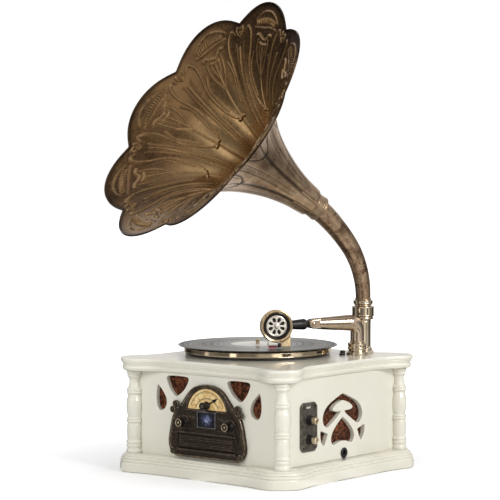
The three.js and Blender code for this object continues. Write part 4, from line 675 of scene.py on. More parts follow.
def make_finishes():
    """Each finish by its short name: its material and the slot of the record that it goes with."""
    cream = plain_finish(
        "cream_satin_lacquer", CREAM_DARK, CREAM_LIGHT, (0.3, 0.42), 0.0, 9, 420, 0.02, 1.0
    )
    # On the bell's inside the last three colours are painted light: the highlight on raised lines, the
    # shadow beside them and in sunk parts, and the highlight across the middle of the petals.
    inside = bronze_finish(
        "antique_horn_bronze",
        [(0.3, (70, 49, 33)), (0.45, (108, 80, 53)), (0.6, (136, 104, 68)), (0.75, (104, 86, 70))],
        (0.2, 0.34), 9.0, 130.0, (176, 142, 98), (12, 8, 5), (216, 180, 130),
    )
    # On the bell's outside the last two colours are painted light: the highlight on the ribs, and the
    # shadow in the grooves and prints.
    outside = bronze_finish(
        "pale_horn_bronze",
        [(0.3, (142, 115, 91)), (0.45, (174, 146, 118)), (0.6, (212, 184, 152)),
         (0.75, (172, 156, 144))],
        (0.26, 0.36), 12.0, 90.0, (226, 202, 172), (42, 29, 20),
    )
    neck = bronze_finish(
        "mottled_neck_bronze",
        [(0.28, (76, 56, 43)), (0.45, (136, 110, 87)), (0.58, (186, 159, 130)),
         (0.74, (112, 90, 70))],
        (0.24, 0.42), 46.0, 320.0,
    )
    grooved = vinyl_finish("grooved_vinyl", (8, 8, 9), (26, 25, 26), (0.1, 0.36), 0.9, 0.8)
    # Run-out vinyl in a lighter grey than the grooves, which paints a sheen round the label
    smooth = vinyl_finish("run_out_vinyl_sheen", (30, 28, 29), (52, 50, 50), (0.1, 0.2), 2.4, 0.7)
    made = {
        "cream": (cream, "cream_lacquer"),
        "horn_inside": (inside, "horn_bronze"),
        "horn_outside": (outside, "horn_bronze"),
        "neck_bronze": (neck, "horn_bronze"),
        "weave": (weave_finish(), "speaker_cloth"),
        "glass": (glass_finish(), "dark_glass"),
        "vinyl": (grooved, "vinyl"),
        "run_out_sheen_vinyl": (smooth, "vinyl"),
    }
    for key, (slot, name, dark, light, *rest) in PLAIN_FINISHES.items():
        made[key] = (plain_finish(name, linear(dark), linear(light), *rest), slot)
    return made


FINISHES = make_finishes()


# Objects


def linked(name, data):
    """A new object in the scene."""
    obj = bpy.data.objects.new(name, data)
    bpy.context.scene.collection.objects.link(obj)
    return obj


def recalculated(mesh, weld=0.0):
    """Points the faces outwards; with a distance in millimetres, joins points that meet first."""
    made = bmesh.new()
    made.from_mesh(mesh)
    if weld:
        bmesh.ops.remove_doubles(made, verts=made.verts, dist=weld * MM)
    bmesh.ops.recalc_face_normals(made, faces=made.faces)
    made.to_mesh(mesh)
    made.free()


def piece(
    name, shells, finish, nodes=(), body="cabinet", slot=None, crisp=True, sharp=42, recalc=True
):
    """One object from shells that stands for CAD nodes. finish is a finish's short name, or a list
    with one for each shell; crisp keeps flat faces flat, and edges over sharp degrees stay sharp."""
    finishes = finish if isinstance(finish, list) else [finish]
    points, faces = merged(*shells)
    mesh = bpy.data.meshes.new(name)
    mesh.from_pydata((points * MM).tolist(), [], faces)
    for key in finishes:
        mesh.materials.append(FINISHES[key][0])
    if len(finishes) > 1:
        numbers = [i for i, shell in enumerate(shells) for _ in shell[1]]
        mesh.polygons.foreach_set("material_index", numbers)
    if recalc:
        recalculated(mesh)
    mesh.shade_smooth()
    mesh.set_sharp_from_angle(angle=math.radians(sharp))
    obj = linked(name, mesh)
    if crisp:
        weighted = obj.modifiers.new("even_faces", "WEIGHTED_NORMAL")
        weighted.keep_sharp = True
    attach(obj, body)
    if nodes:
        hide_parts(*nodes)
    return obj


def side_piece(name, shells, side, stand, finish, nodes=(), **settings):
    """A piece from shells of (right, up, depth) points on one side of the cabinet."""
    placed = [on_side(shell, side, stand) for shell in shells]
    return piece(name, placed, finish, nodes, **settings)


# Moulded boards

OGEE = 74
OGEE_STEPS = 40
CORNER_SOFTNESS = 11.5
OUTLINE_POINTS = 480
MOULDING_SOFTNESS = 0.7
WELD = 0.002
POCKET_TOP = 202
POCKET_FLOOR = 10
BEARING_HOLE = 10.3
PULLEY_HOLE = 8
TOP_PLAN = {"half": 183, "out": 28, "cut": 4}
BASE_PLAN = {"half": 203, "out": 11, "cut": 25}
# Edges of the boards, as shares of the height and of the depth of the moulding
TOP_DEPTH = 7
TOP_PROFILE = [
    [0, 1], [0.06, 0.72], [0.2, 0.42], [0.32, 0.46], [0.36, 0.62], [0.42, 0.86], [0.46, 0.62],
    [0.56, 0.5], [0.65, 0.24], [0.68, 0.3], [0.71, 0.28], [0.74, 0.02], [0.9, 0], [0.97, 0.1], [1, 0.36],
]
BASE_DEPTH = 13
BASE_PROFILE = [
    [0, 0.12], [0.05, 0.01], [0.5, 0.03], [0.535, 0.08], [0.55, 0.24], [0.58, 0.24], [0.6, 0.12],
    [0.7, 0.15], [0.72, 0.42], [0.755, 0.43], [0.77, 0.32], [0.86, 0.38], [0.885, 0.7], [0.915, 0.7],
    [0.93, 0.62], [1, 0.86],
]


def board_outline(plan, inset):
    """Plan of a board: each side flows out in an ogee to a rounded face across the corner."""
    straight = plan["half"] - inset
    reach = plan["half"] + plan["out"] - inset
    corner = plan["half"] - plan["cut"] - inset * (math.sqrt(2) - 1)
    start = plan["half"] - plan["cut"] - OGEE
    run = []
    for k in range(OGEE_STEPS + 1):
        share = k / OGEE_STEPS
        out = (reach - straight) * (0.5 - 0.5 * math.cos(math.pi * share))
        run.append([start + (corner - start) * share, -(straight + out)])
    run += [[-y, -x] for x, y in run[::-1]]
    loop = []
    for side in range(4):
        turn = side * math.pi / 2
        for x, y in run:
            turned_x = x * math.cos(turn) - y * math.sin(turn)
            loop.append([turned_x, x * math.sin(turn) + y * math.cos(turn)])
    even, pitch = resampled(np.array(loop), count=OUTLINE_POINTS)
    reach_steps = int(3 * CORNER_SOFTNESS / pitch)
    places = np.arange(-reach_steps, reach_steps + 1)
    weights = np.exp(-0.5 * (places * pitch / CORNER_SOFTNESS) ** 2)
    soft = sum(w * np.roll(even, k - reach_steps, 0) for k, w in enumerate(weights))
    return soft / weights.sum()


def at_level(loop, level):
    return np.column_stack([loop, np.full(len(loop), level)])


def board_edge(plan, bottom, top, depth, profile):
    """The moulded edge of a board, with its lowest and its highest loop."""
    points = [[inset * depth, bottom + rise * (top - bottom)] for rise, inset in profile]
    rings = [
        at_level(board_outline(plan, inset), level)
        for inset, level in rounded(points, MOULDING_SOFTNESS, 4)
    ]
    shell = (np.concatenate(rings), grid_faces(len(rings), len(rings[0])))
    return shell, rings[0][:, :2], rings[-1][:, :2]


def flat_at(loops, level):
    """A flat face between loops at a level, with the loops' own points."""
    starts = np.cumsum([0] + [len(loop) for loop in loops[:-1]])
    points = np.concatenate([at_level(loop, level) for loop in loops])
    return points, filled(loops, [int(s) for s in starts])


def wall_between(loop, low, high):
    return np.concatenate([at_level(loop, low), at_level(loop, high)]), grid_faces(2, len(loop))


def add_boards():
    """The two boards, each hollowed by a square pocket; its shells are welded to one closed body."""
    square = np.array([[-1, -1], [1, -1], [1, 1], [-1, 1]]) * float(POCKET - 1)
    holes = [circle(BEARING_HOLE, *SPINDLE), circle(PULLEY_HOLE, SPINDLE[0] + 60, SPINDLE[1] - 30)]
    edge, lowest, highest = board_edge(TOP_PLAN, DECK_BOTTOM, DECK_TOP, TOP_DEPTH, TOP_PROFILE)
    shells = [
        edge,
        flat_at([highest, *holes], DECK_TOP),
        flat_at([lowest, square], DECK_BOTTOM),
        flat_at([square, *holes], POCKET_TOP),
        wall_between(square, DECK_BOTTOM, POCKET_TOP),
        *[wall_between(hole, POCKET_TOP, DECK_TOP) for hole in holes],
    ]
    recalculated(piece("deck_moulding", shells, "cream", ["deck_board"]).data, WELD)
    edge, lowest, highest = board_edge(BASE_PLAN, 0, BASE_TOP, BASE_DEPTH, BASE_PROFILE)
    shells = [
        edge,
        flat_at([lowest], 0),
        flat_at([highest, square], BASE_TOP),
        flat_at([square], POCKET_FLOOR),
        wall_between(square, POCKET_FLOOR, BASE_TOP),
    ]
    recalculated(piece("base_moulding", shells, "cream", ["base_board"]).data, WELD)


# Columns

COLUMN_AXIS = 176.7
COLUMN_RADIUS = 15.5
COLUMN_SOFTNESS = 1.5
CORNER_POST = 11
# Shares of the height and of the radius
COLUMN_PROFILE = [
    [0, 0.98], [0.03, 0.98], [0.045, 0.84], [0.06, 0.84], [0.075, 0.95], [0.095, 0.95], [0.105, 0.8],
    [0.118, 0.97], [0.14, 0.97], [0.152, 0.82], [0.2, 0.88], [0.3, 0.9], [0.345, 0.86], [0.355, 0.76],
    [0.368, 0.97], [0.385, 0.99], [0.395, 0.84], [0.405, 0.98], [0.42, 0.96], [0.43, 0.78], [0.47, 0.88],
    [0.56, 0.99], [0.63, 0.95], [0.69, 0.78], [0.705, 0.76], [0.715, 0.94], [0.735, 0.98], [0.745, 0.84],
    [0.755, 0.96], [0.775, 0.93], [0.785, 0.76], [0.83, 0.66], [0.87, 0.61], [0.9, 0.66], [0.915, 0.84],
    [0.935, 0.9], [0.945, 0.78], [0.96, 0.96], [0.98, 0.97], [1, 0.9],
]


def add_columns():
    bottom = BASE_TOP + GAP
    height = DECK_BOTTOM - GAP - bottom
    profile = [[share * COLUMN_RADIUS, bottom + rise * height] for rise, share in COLUMN_PROFILE]
    profile = rounded(profile, COLUMN_SOFTNESS, 4)
    column = lathe(np.vstack([[0, bottom], profile, [0, bottom + height]]), 56)
    post_axis = CABINET - GAP - CORNER_POST / 2
    for y, row in ((-1, "front"), (1, "rear")):
        for x, hand in ((-1, "left"), (1, "right")):
            centre = (x * post_axis, y * post_axis, bottom + height / 2)
            post = block((CORNER_POST, CORNER_POST, height), centre, 0.6)
            shells = [moved(column, x * COLUMN_AXIS, y * COLUMN_AXIS), post]
            piece(f"turned_column_{row}_{hand}", shells, "cream", [f"column_{row}_{hand}"])


# Panels, with their cut-outs. The tables are quadratic curves, in shares of the opening's size

PETAL = [
    [-0.42, 0], [0, 0.06, 0.42, 0], [0.53, -0.05, 0.48, -0.22], [0.36, -0.72, 0.14, -0.95],
    [0.06, -1.02, -0.02, -0.94], [-0.34, -0.68, -0.48, -0.2], [-0.53, -0.03, -0.42, 0],
]
DROP = [
    [0.36, 0], [0.5, -0.26, 0.5, -0.55], [0.46, -0.98, 0.08, -0.99], [-0.34, -0.98, -0.48, -0.7],
    [-0.56, -0.42, 0.22, -0.04], [0.31, 0.02, 0.36, 0],
]
SPADE_HALF = [
    [0, 0], [0.16, -0.11, 0.3, -0.24], [0.46, -0.38, 0.5, -0.66], [0.51, -0.9, 0.42, -0.99],
    [0.36, -1.02, 0.32, -0.95], [0.18, -0.78, 0.06, -0.61], [0.045, -0.56, 0.06, -0.545],
    [0.14, -0.56, 0.2, -0.54], [0.27, -0.51, 0.24, -0.42], [0.16, -0.28, 0, -0.21],
]
HEART_HALF = [
    [0, 0], [0.24, -0.22, 0.4, -0.48], [0.54, -0.74, 0.46, -0.92], [0.4, -1.04, 0.28, -0.98],
    [0.14, -0.89, 0, -0.9],
]
KERF = [
    [0.42, 0], [0.5, -0.02, 0.5, -0.2], [0.5, -0.7, 0.1, -0.98], [-0.1, -1, -0.18, -0.8],
    [-0.36, -0.5, -0.48, -0.25], [-0.1, -0.14, 0.42, 0],
]
# Openings on each side of the front: outline, width, height, middle and top
FRONT_OPENINGS = [(PETAL, 54, 37, 73, 181.5), (DROP, 26, 47.5, 112.5, 163.5)]
PLATE_Y = -98.5
SIDE_KNOB_LEVELS = (113.5, 78.5)
JACK = (8.5, 42.8)
OPENING_ROUND = 1.3
SEAM = 0.08
SHAFT_HOLE = 4.5
SIDE_SHIFT = 6


def opening(shares, width, height, x, top, flip):
    return evened(quadratics(shares, width, height) * [flip, 1] + [x, top])


def drawer_opening(radius):
    return rectangle(136, 27, FASCIA_X, 52, radius)


def window_opening(radius):
    return rectangle(42, 28, FASCIA_X, 94, radius)


def knob_holes(radius):
    return [circle(radius, x, KNOB_LEVEL, 24) for x in KNOB_PLACES]


def spade_openings(centre):
    spade = evened(mirrored(quadratics(SPADE_HALF, 120, 58)) + [centre, 152.5])
    heart = evened(mirrored(quadratics(HEART_HALF, 72, 49)) + [centre, 109.5])
    kerfs = [opening(KERF, 23, 28, centre + side * 56, 89.5, side) for side in (-1, 1)]
    return [spade, heart, *kerfs]


def add_panel(name, side, holes):
    bottom = BASE_TOP + SEAM
    height = DECK_BOTTOM - SEAM - bottom
    width = 2 * (CABINET - GAP - CORNER_POST - GAP)
    outer = rectangle(width, height, 0, bottom, 0.8)
    shell = plate(
        outer, holes, thickness=WALL, bevel=0.2, hole_bevel=OPENING_ROUND, steps=4
    )
    side_piece(name + "_board", [shell], side, CABINET, "cream", [name])


def add_panels():
    holes = []
    for side in (-1, 1):
        for shares, width, height, x, top in FRONT_OPENINGS:
            holes.append(opening(shares, width, height, side * x, top, side))
    holes += [drawer_opening(1.5), window_opening(1.5), *knob_holes(SHAFT_HOLE)]
    holes.append(circle(SHAFT_HOLE, FASCIA_X, TUNING_LEVEL, 24))
    add_panel("front_panel", "front", holes)

    holes = spade_openings(SIDE_SHIFT)
    holes += [circle(SHAFT_HOLE, PLATE_Y, z, 24) for z in SIDE_KNOB_LEVELS]
    holes.append(circle(8.2, *JACK, 32))
    add_panel("right_panel", "right", holes)
    add_panel("left_panel", "left", spade_openings(-SIDE_SHIFT))

    holes = [rectangle(28.6, 22.6, INLET_X, 52.7, 1.5)]
    holes += [circle(6, REAR_SOCKET_X + side * 15, REAR_LEVEL, 24) for side in (-1, 1)]
    holes += [rectangle(80, 5, 0, 120 + i * 14, 2.4) for i in range(4)]
    add_panel("rear_panel", "rear", holes)


# Speaker cloth, stretched flat behind the openings

CLOTH_PITCH = 1.5
CLOTH_FACE = 0.12
CLOTH_BACK = 0.9
FRONT_CLOTH = (98.0, 84.0)
SIDE_CLOTH = (150.0, 112.0)
NOTCH_HEIGHT = 40.3


def cloth_shell(width, height, x, bottom, notch=None):
    """A thin woven sheet on a grid. A notch of (side, edge, top) leaves out a lower corner, the left
    one for side 1 and the right one for side -1."""
    columns = int(width / CLOTH_PITCH) + 1
    rows = int(height / CLOTH_PITCH) + 1
    across = np.linspace(0, width, columns)
    level = np.linspace(0, height, rows)
    kept = np.ones((rows - 1, columns - 1), bool)
    if notch:
        side, edge, top = notch
        across[np.argmin(np.abs(across - edge))] = edge
        level[np.argmin(np.abs(level - top))] = top
        cut_x = ((across[1:] + across[:-1]) / 2 - edge) * side < 0
        cut_z = (level[1:] + level[:-1]) / 2 < top
        kept = ~(cut_x[None, :] & cut_z[:, None])
    grid_x, grid_z = np.meshgrid(across, level)
    waves = [np.sin(grid * math.pi / CLOTH_PITCH / 2) for grid in (grid_x, grid_z)]
    relief = 0.1 * waves[0] * waves[1]
    depths = (CLOTH_FACE + relief, np.full_like(grid_x, CLOTH_BACK))
    sides = [
        np.stack([grid_x + x - width / 2, grid_z + bottom, depth], -1).reshape(-1, 3) for depth in depths
    ]
    faces = []
    half = rows * columns
    for i, j in np.argwhere(kept).tolist():
        a = i * columns + j
        b, c, d = a + 1, a + columns + 1, a + columns
        faces.append([a, b, c, d])
        faces.append([half + d, half + c, half + b, half + a])
        edges = [(i - 1, j, a, b), (i, j + 1, b, c), (i + 1, j, c, d), (i, j - 1, d, a)]
        for row, column, first, second in edges:
            inside = 0 <= row < rows - 1 and 0 <= column < columns - 1
            if not inside or not kept[row, column]:
                faces.append([second, first, half + first, half + second])
    used = sorted({i for face in faces for i in face})
    renumbered = {old: new for new, old in enumerate(used)}
    return np.concatenate(sides)[used], [[renumbered[i] for i in face] for face in faces]


def add_cloth(shell, side, node):
    stand = CABINET - WALL - GAP
    return side_piece("woven_" + node, [shell], side, stand, "weave", [node], crisp=False)


def add_cloths():
    width, height = FRONT_CLOTH
    # The notch is in the lower corner nearest the middle, where the circuit board is.
    for name, side, notch_width in (("left", -1, 26.3), ("right", 1, 30.3)):
        edge = width - notch_width if side < 0 else notch_width
        shell = cloth_shell(width, height, side * 92, 102, (side, edge, NOTCH_HEIGHT))
        cloth = add_cloth(shell, "front", "front_cloth_" + name)
    width, height = SIDE_CLOTH
    for side, centre in (("right", SIDE_SHIFT), ("left", -SIDE_SHIFT)):
        cloth = add_cloth(cloth_shell(width, height, centre, 50), side, side + "_cloth")


# Fascia

def fascia_piece(name, shells, finish, nodes=(), **settings):
    side_piece(name, shells, "front", FASCIA_FACE, finish, nodes, **settings)


# Outline from the top's middle to the bottom's, as quadratic curves in shares of the size
FASCIA_HALF = [
    [0, 1], [0.16, 1, 0.234, 0.875], [0.3, 0.77, 0.35, 0.675], [0.4, 0.63, 0.425, 0.57],
    [0.455, 0.48, 0.47, 0.34], [0.51, 0.14, 0.455, 0.06], [0.42, 0.01, 0.385, 0], [0.2, 0, 0, 0],
]
# Middles of the scrolls, in shares of the fascia's size
SCROLLS = [[0.39, 0.71], [0.425, 0.63], [0.425, 0.07]]
# Ledges over and under the drawer: lower and upper level, width, and how far they stand out
LEDGES = [
    (79.2, 84.0, 144, 3.0), (84.0, 86.2, 138, 1.4), (47.6, 51.8, 144, 3.0), (44.2, 47.6, 146, 2.3),
    (41.2, 44.2, 148, 1.6),
]
LEDGE_LINES = (81.0, 82.6, 48.6, 50.6)
FASCIA_WIDTH = 188
FASCIA_HEIGHT = 136
FASCIA_SHAFT = 3.5
SCROLL_BOSS = [[0, -2], [6.4, -2], [6.5, 0.6], [5.6, 1.0], [3.6, 0.4], [0, 0.4]]
SCROLL_DOME = [[0, 0], [2.3, 0], [2.1, 2.2], [1.1, 3.1], [0, 3.2]]
OUTWARDS = np.array([0.0, 0.0, -1.0])


def dial_outline(radius, base):
    start = math.asin((base - DIAL_CENTRE) / radius)
    turns = np.linspace(start, math.pi - start, 48)
    arc = np.stack([FASCIA_X + radius * np.cos(turns), DIAL_CENTRE + radius * np.sin(turns)], 1)
    return evened(arc, 1.0, 1)


def flat_line(points, radius, depth, flatten=0.7, closed=False):
    """A raised bead along a line on a face: points of (right, up)."""
    return sweep(at_level(points, depth), radius, 10, OUTWARDS, closed, flatten)


def level_line(middle, half, level, radius, depth, flatten=0.7):
    return flat_line([[middle - half, level], [middle + half, level]], radius, depth, flatten)


def dial_arc(radius, start, end, steps, width, depth, flatten):
    """A raised bead round the dial's centre, between two headings in degrees."""
    turns = np.radians(np.linspace(start, end, steps))
    arc = np.stack([FASCIA_X + radius * np.cos(turns), DIAL_CENTRE + radius * np.sin(turns)], 1)
    return flat_line(arc, width, depth, flatten)


def scroll_spots():
    """Middles of the scrolls at the shoulders and the feet, as (right, up)."""
    spots = []
    for reach, rise in SCROLLS:
        for side in (-1, 1):
            x = FASCIA_X + side * reach * FASCIA_WIDTH
            spots.append((x, FASCIA_BOTTOM + rise * FASCIA_HEIGHT))
    return spots


def add_fascia():
    half = quadratics(FASCIA_HALF, FASCIA_WIDTH, FASCIA_HEIGHT)
    outer = evened(mirrored(half) + [FASCIA_X, FASCIA_BOTTOM], 1.4, 2)
    holes = [
        dial_outline(47, DIAL_BASE), window_opening(0.8), drawer_opening(1.0),
        *knob_holes(FASCIA_SHAFT),
    ]
    shells = [plate(outer, holes, thickness=6, bevel=1.6, steps=4)]
    for low, high, width, proud in LEDGES:
        bar = rectangle(width, high - low, FASCIA_X, low, 0.7)
        shells.append(plate(bar, thickness=proud + 2, bevel=0.6, sink=-proud))
    # Cheeks beside the drawer.
    for side in (-1, 1):
        cheek = rectangle(4.4, 26, FASCIA_X + side * 70.9, 52.4, 0.8)
        shells.append(plate(cheek, thickness=3.4, bevel=0.7, sink=-1.4))
    # Scrolls: a domed boss in a sunk ring.
    shells += [facing(turned(SCROLL_BOSS, 0.4, 32), x, z) for x, z in scroll_spots()]
    fascia_piece("radio_fascia", shells, "dark_bronze", ["fascia"])
    add_fascia_rims(outer)
    add_fascia_trim()


def add_fascia_rims(outer):
    """The raised lines of the fascia, in a lighter rubbed bronze than its ground that also paints
    highlights along them.
    """
    shells = [
        flat_line(evened(offset(outer, 2.3), 1.8, 4), 2.1, 0.3, 0.8, True),
        flat_line(evened(offset(outer, 6.6), 1.6, 8), 0.5, 0.05, 0.8, True),
        dial_arc(49.6, 9, 171, 60, 0.9, 0.1, 0.9),
        level_line(FASCIA_X, 48, 123.4, 1.0, 0.1),
    ]
    # Slanting lines beside the window, as reach and level of both ends, and rings round the knobs.
    slants = [((26, 112.5), (68, 109.5)), ((26, 109.4), (68, 106.4)), ((26, 89.4), (70, 87.6))]
    for side, place in zip((-1, 1), KNOB_PLACES):
        for ends in slants:
            line = [[FASCIA_X + side * reach, level] for reach, level in ends]
            shells.append(flat_line(line, 0.6, 0.1))
        shells.append(flat_line(circle(11.6, place, KNOB_LEVEL, 44), 0.6, 0.1, 0.9, True))
    shells += [level_line(FASCIA_X, 71, level, 0.45, -3.0, 1.0) for level in LEDGE_LINES]
    for x, z in scroll_spots():
        shells.append(flat_line(circle(5.2, x, z, 36), 1.15, -1.5, 1.0, True))
        shells.append(facing(turned(SCROLL_DOME, 0.4, 28), x, z))
    fascia_piece("fascia_raised_lines", shells, "rubbed_bronze", crisp=False)


def add_fascia_trim():
    """The frame of the window and its pane."""
    outer = rectangle(43.6, 29.6, FASCIA_X, 92.6, 0.8)
    inner = rectangle(41.2, 27.2, FASCIA_X, 93.8, 0.5)
    rim = plate(outer, [inner], thickness=1.6, bevel=0.5, hole_bevel=0.5, sink=-1.0)
    fascia_piece("window_frame", [rim], "steel", slot="pewter_plate")
    loop = rectangle(41.4, 27.4, FASCIA_X, 94.3, 0.6)
    pane = plate(loop, thickness=2, bevel=0.3, sink=1.4)
    fascia_piece("window_pane", [pane], "glass", ["display_window"])


MARK_DEPTH = 1.74
MARKS = 41
MARK_END = 41.5
NUMBER_REACH = 33.2
NUMBER_SIZE = 5.4


def add_dial():
    """The dial plate, its scale of marks and arcs, and plain numbers from 6 to 16."""
    hole = circle(FASCIA_SHAFT, FASCIA_X, TUNING_LEVEL, 24)
    outer = dial_outline(46.7, DIAL_BASE + GAP)
    face = plate(outer, [hole], thickness=4.2, bevel=0.3, hole_bevel=0.2, steps=2, sink=1.8)
    fascia_piece("dial_face", [face], "dial_cream", ["dial_plate"])
    marks = []
    centre = np.array([FASCIA_X, DIAL_CENTRE])
    for number in range(MARKS):
        turn = math.radians(22 + number * 136 / (MARKS - 1))
        inner, half_width = (36.8, 0.5) if number % 5 == 0 else (38.8, 0.3)
        direction = np.array([math.cos(turn), math.sin(turn)])
        side = np.array([-direction[1], direction[0]]) * half_width
        ends = ((inner, -1), (MARK_END, -1), (MARK_END, 1), (inner, 1))
        corners = [centre + direction * reach + side * hand for reach, hand in ends]
        mark = plate(np.array(corners), thickness=0.3, bevel=0.02, steps=1, sink=MARK_DEPTH)
        marks.append(mark)
    for radius in (41.8, 30.0, 28.6, 20.0):
        marks.append(dial_arc(radius, 22, 158, 50, 0.42, MARK_DEPTH + 0.1, 0.5))
    for number in range(6):
        turn = 150 - number * 24
        x = FASCIA_X + NUMBER_REACH * math.cos(math.radians(turn))
        z = DIAL_CENTRE + NUMBER_REACH * math.sin(math.radians(turn))
        marks.append(number_shell(str(6 + 2 * number), x, z, turn - 90))
    fascia_piece("dial_scale", marks, "dial_ink", crisp=False)


def number_shell(text, x, z, turn):
    """A plain number as a thin flat shape, in (right, up, depth)."""
    curve = bpy.data.curves.new("number", "FONT")
    curve.body = text
    curve.size = NUMBER_SIZE
    curve.align_x = "CENTER"
    curve.align_y = "CENTER"
    curve.extrude = 0.1
    curve.resolution_u = 2
    obj = bpy.data.objects.new("number", curve)
    mesh = bpy.data.meshes.new_from_object(obj)
    points = np.array([v.co for v in mesh.vertices], float)
    faces = [list(p.vertices) for p in mesh.polygons]
    bpy.data.objects.remove(obj)
    bpy.data.meshes.remove(mesh)
    return laid((points, faces), MARK_DEPTH + 0.1, (x, z), math.radians(turn))


# Knobs

# The knobs and the drawer stand a gap in front of the fascia's face
FRONT_STAND = FASCIA_FACE + GAP


def front_piece(name, shells, finish, body, nodes=(), **settings):
    side_piece(name, shells, "front", FRONT_STAND, finish, nodes, body=body, **settings)


KNOB_SHAFT = 15
KNOB_RING = [[5.5, 13.8], [7.3, 13.8], [7.4, 14.8], [6.9, 15.4], [6.0, 15.4], [5.5, 14.8]]
KNOB_DOT = [[0, 13.8], [2.3, 13.8], [2.2, 14.8], [1.2, 15.3], [0, 15.4]]
TUNING_CAP = [[0, 12.6], [3.6, 12.6], [3.6, 13.2], [2.8, 13.7], [0, 13.8]]
# The pointer's hand, along it and across it from the knob's middle
HAND = [[6, -1.5], [18, -1.1], [18, -3.2], [29, -0.3], [29, 0.3], [18, 3.2], [18, 1.1], [6, 1.5]]
HAND_TILT = math.radians(29)


def knob_barrel(radius, length, dish, flutes, flute_depth):
    """A fluted knob on its shaft, with the points of its top after the rim."""
    foot = radius * 1.1
    waist = radius * 0.9
    rim = radius * 0.97
    points = [
        [0, -KNOB_SHAFT], [3, -KNOB_SHAFT], [3, 0], [foot, 0], [foot, length * 0.1],
        [waist, length * 0.24], [waist, length * 0.8], [rim, length * 0.88], [rim, length * 0.97],
        [radius * 0.8, length], *dish,
    ]
    span = (length * 0.25, length * 0.8)
    return turned(points, 0.5, 72, flutes=flutes, flute_depth=flute_depth, flute_span=span)


def add_fascia_knobs():
    radius, length = 8.8, 15
    dish = [[radius * 0.6, length * 0.99], [radius * 0.56, length * 0.95], [0, length * 0.95]]
    barrel = knob_barrel(radius, length, dish, 18, 0.5)
    rings = [turned(KNOB_RING, 0.3, 48), turned(KNOB_DOT, 0.3, 24)]
    for hand, place in zip(("left", "right"), KNOB_PLACES):
        spot = (place, KNOB_LEVEL)
        body = hand + "_dial_knob"
        name = hand + "_knob"
        front_piece(name + "_barrel", [facing(barrel, *spot)], "black", body, [name])
        front_piece(name + "_rings", [facing(ring, *spot) for ring in rings], "ring_gold", body)
    spot = (FASCIA_X, TUNING_LEVEL)
    barrel = facing(knob_barrel(7.0, 13, [[0, 13]], 16, 0.45), *spot)
    front_piece("tuning_knob_barrel", [barrel], "black", "tuner", ["tuning_knob"])
    cap = facing(turned(TUNING_CAP, 0.3, 36), *spot)
    front_piece("tuning_knob_cap", [cap], "pewter", "tuner", slot="dark_bronze")
    along = np.array([math.cos(HAND_TILT), math.sin(HAND_TILT)])
    across = np.array([-along[1], along[0]])
    outline = np.array([np.array(spot) + along * a + across * b for a, b in HAND])
    shells = [
        plate(outline, thickness=1.1, bevel=0.15, steps=2, sink=0.35),
        plate(
            circle(7.2, *spot, 48), [circle(3.4, *spot, 32)], thickness=1.1, bevel=0.25,
            hole_bevel=0.2, steps=2, sink=0.35,
        ),
    ]
    fascia_piece(
        "pointer_hand", shells, "black", ["dial_pointer"], body="tuner", slot="dark_bronze"
    )


# Drawer

TRAY_DEPTH = 132
DISC_SEAT = [[36, 58.2], [41, 58.2], [41, 59.4], [36, 59.4]]


def add_drawer():
    rim = rectangle(127, 18.4, FASCIA_X, 56.3, 1.6)
    rim_hole = rectangle(121.5, 12.9, FASCIA_X, 59.05, 1.2)
    shells = [
        plate(rectangle(134, 25, FASCIA_X, 53, 0.9), thickness=4, bevel=0.7),
        plate(rim, [rim_hole], thickness=1.6, bevel=0.5, hole_bevel=0.5, sink=-1.1),
        plate(rectangle(117, 9.4, FASCIA_X, 60.8, 1.0), thickness=1.6, bevel=0.6, sink=-0.9),
    ]
    front_piece("drawer_front", shells, "dark_bronze", "drawer", ["cd_drawer"])
    # The drawer's raised lines, in the lighter rubbed bronze that paints highlights on them.
    lines = []
    for width, height, bottom, depth in ((124.4, 15.8, 57.6, -1.0), (116.2, 8.6, 61.2, -0.8)):
        loop = evened(rectangle(width, height, FASCIA_X, bottom, 1.4), 1.5, 1)
        lines.append(flat_line(loop, 0.45, depth, 1.0, True))
    front_piece("drawer_lines", lines, "rubbed_bronze", "drawer", crisp=False)
    front = FRONT_STAND - 4
    centre = (FASCIA_X, -front + 2 + 61)
    outer = rectangle(134, TRAY_DEPTH, FASCIA_X, -front, 3)
    hub, disc = [circle(8, *centre, 40)], [circle(61, *centre, 96)]
    tray = [
        laid(plate(outer, hub, thickness=1.6, bevel=0.2, hole_bevel=0.4, steps=2), 58.6),
        laid(plate(outer, disc, thickness=4.4, bevel=0.6, hole_bevel=0.7), 63),
        moved(turned(DISC_SEAT, 0.4, 72), *centre),
    ]
    piece("drawer_tray", tray, "black", body="drawer", slot="dark_bronze")


# Right-hand side: control plate, its knobs and the socket

PLATE_LEVEL = 101
PLATE_HALF = (24.5, 44.5)
PLATE_CLIP = 7
SCREW_HEAD = [[0, 0], [2.6, 0], [2.4, 0.7], [1.2, 1.15], [0, 1.25]]
SIDE_BARREL = [
    [0, -17.5], [3, -17.5], [3, 0], [9.1, 0], [9.1, 1.8], [8.2, 3.2], [8.2, 9.2], [7.2, 10], [0, 10],
]
SIDE_TIP = [
    [0, 9.6], [6.4, 9.6], [6.6, 10.4], [6.6, 16.6], [6.2, 17.4], [5.4, 17.9], [4.4, 17.9], [3.8, 17.2],
    [3.6, 16.4], [0, 16.4],
]
SIDE_CORE = [[0, 16.0], [3.4, 16.0], [3.2, 17.0], [0, 17.3]]
SOCKET = [
    [4, -8], [6.7, -8], [6.7, 0.3], [9.9, 0.3], [9.8, 1.2], [8.8, 2.4], [7.0, 2.9], [5.4, 2.5],
    [4.4, 1.2], [4, 0],
]
SOCKET_RING = [[4.05, -1], [4.9, -1], [4.9, 1.5], [4.4, 1.6], [4.05, 1]]


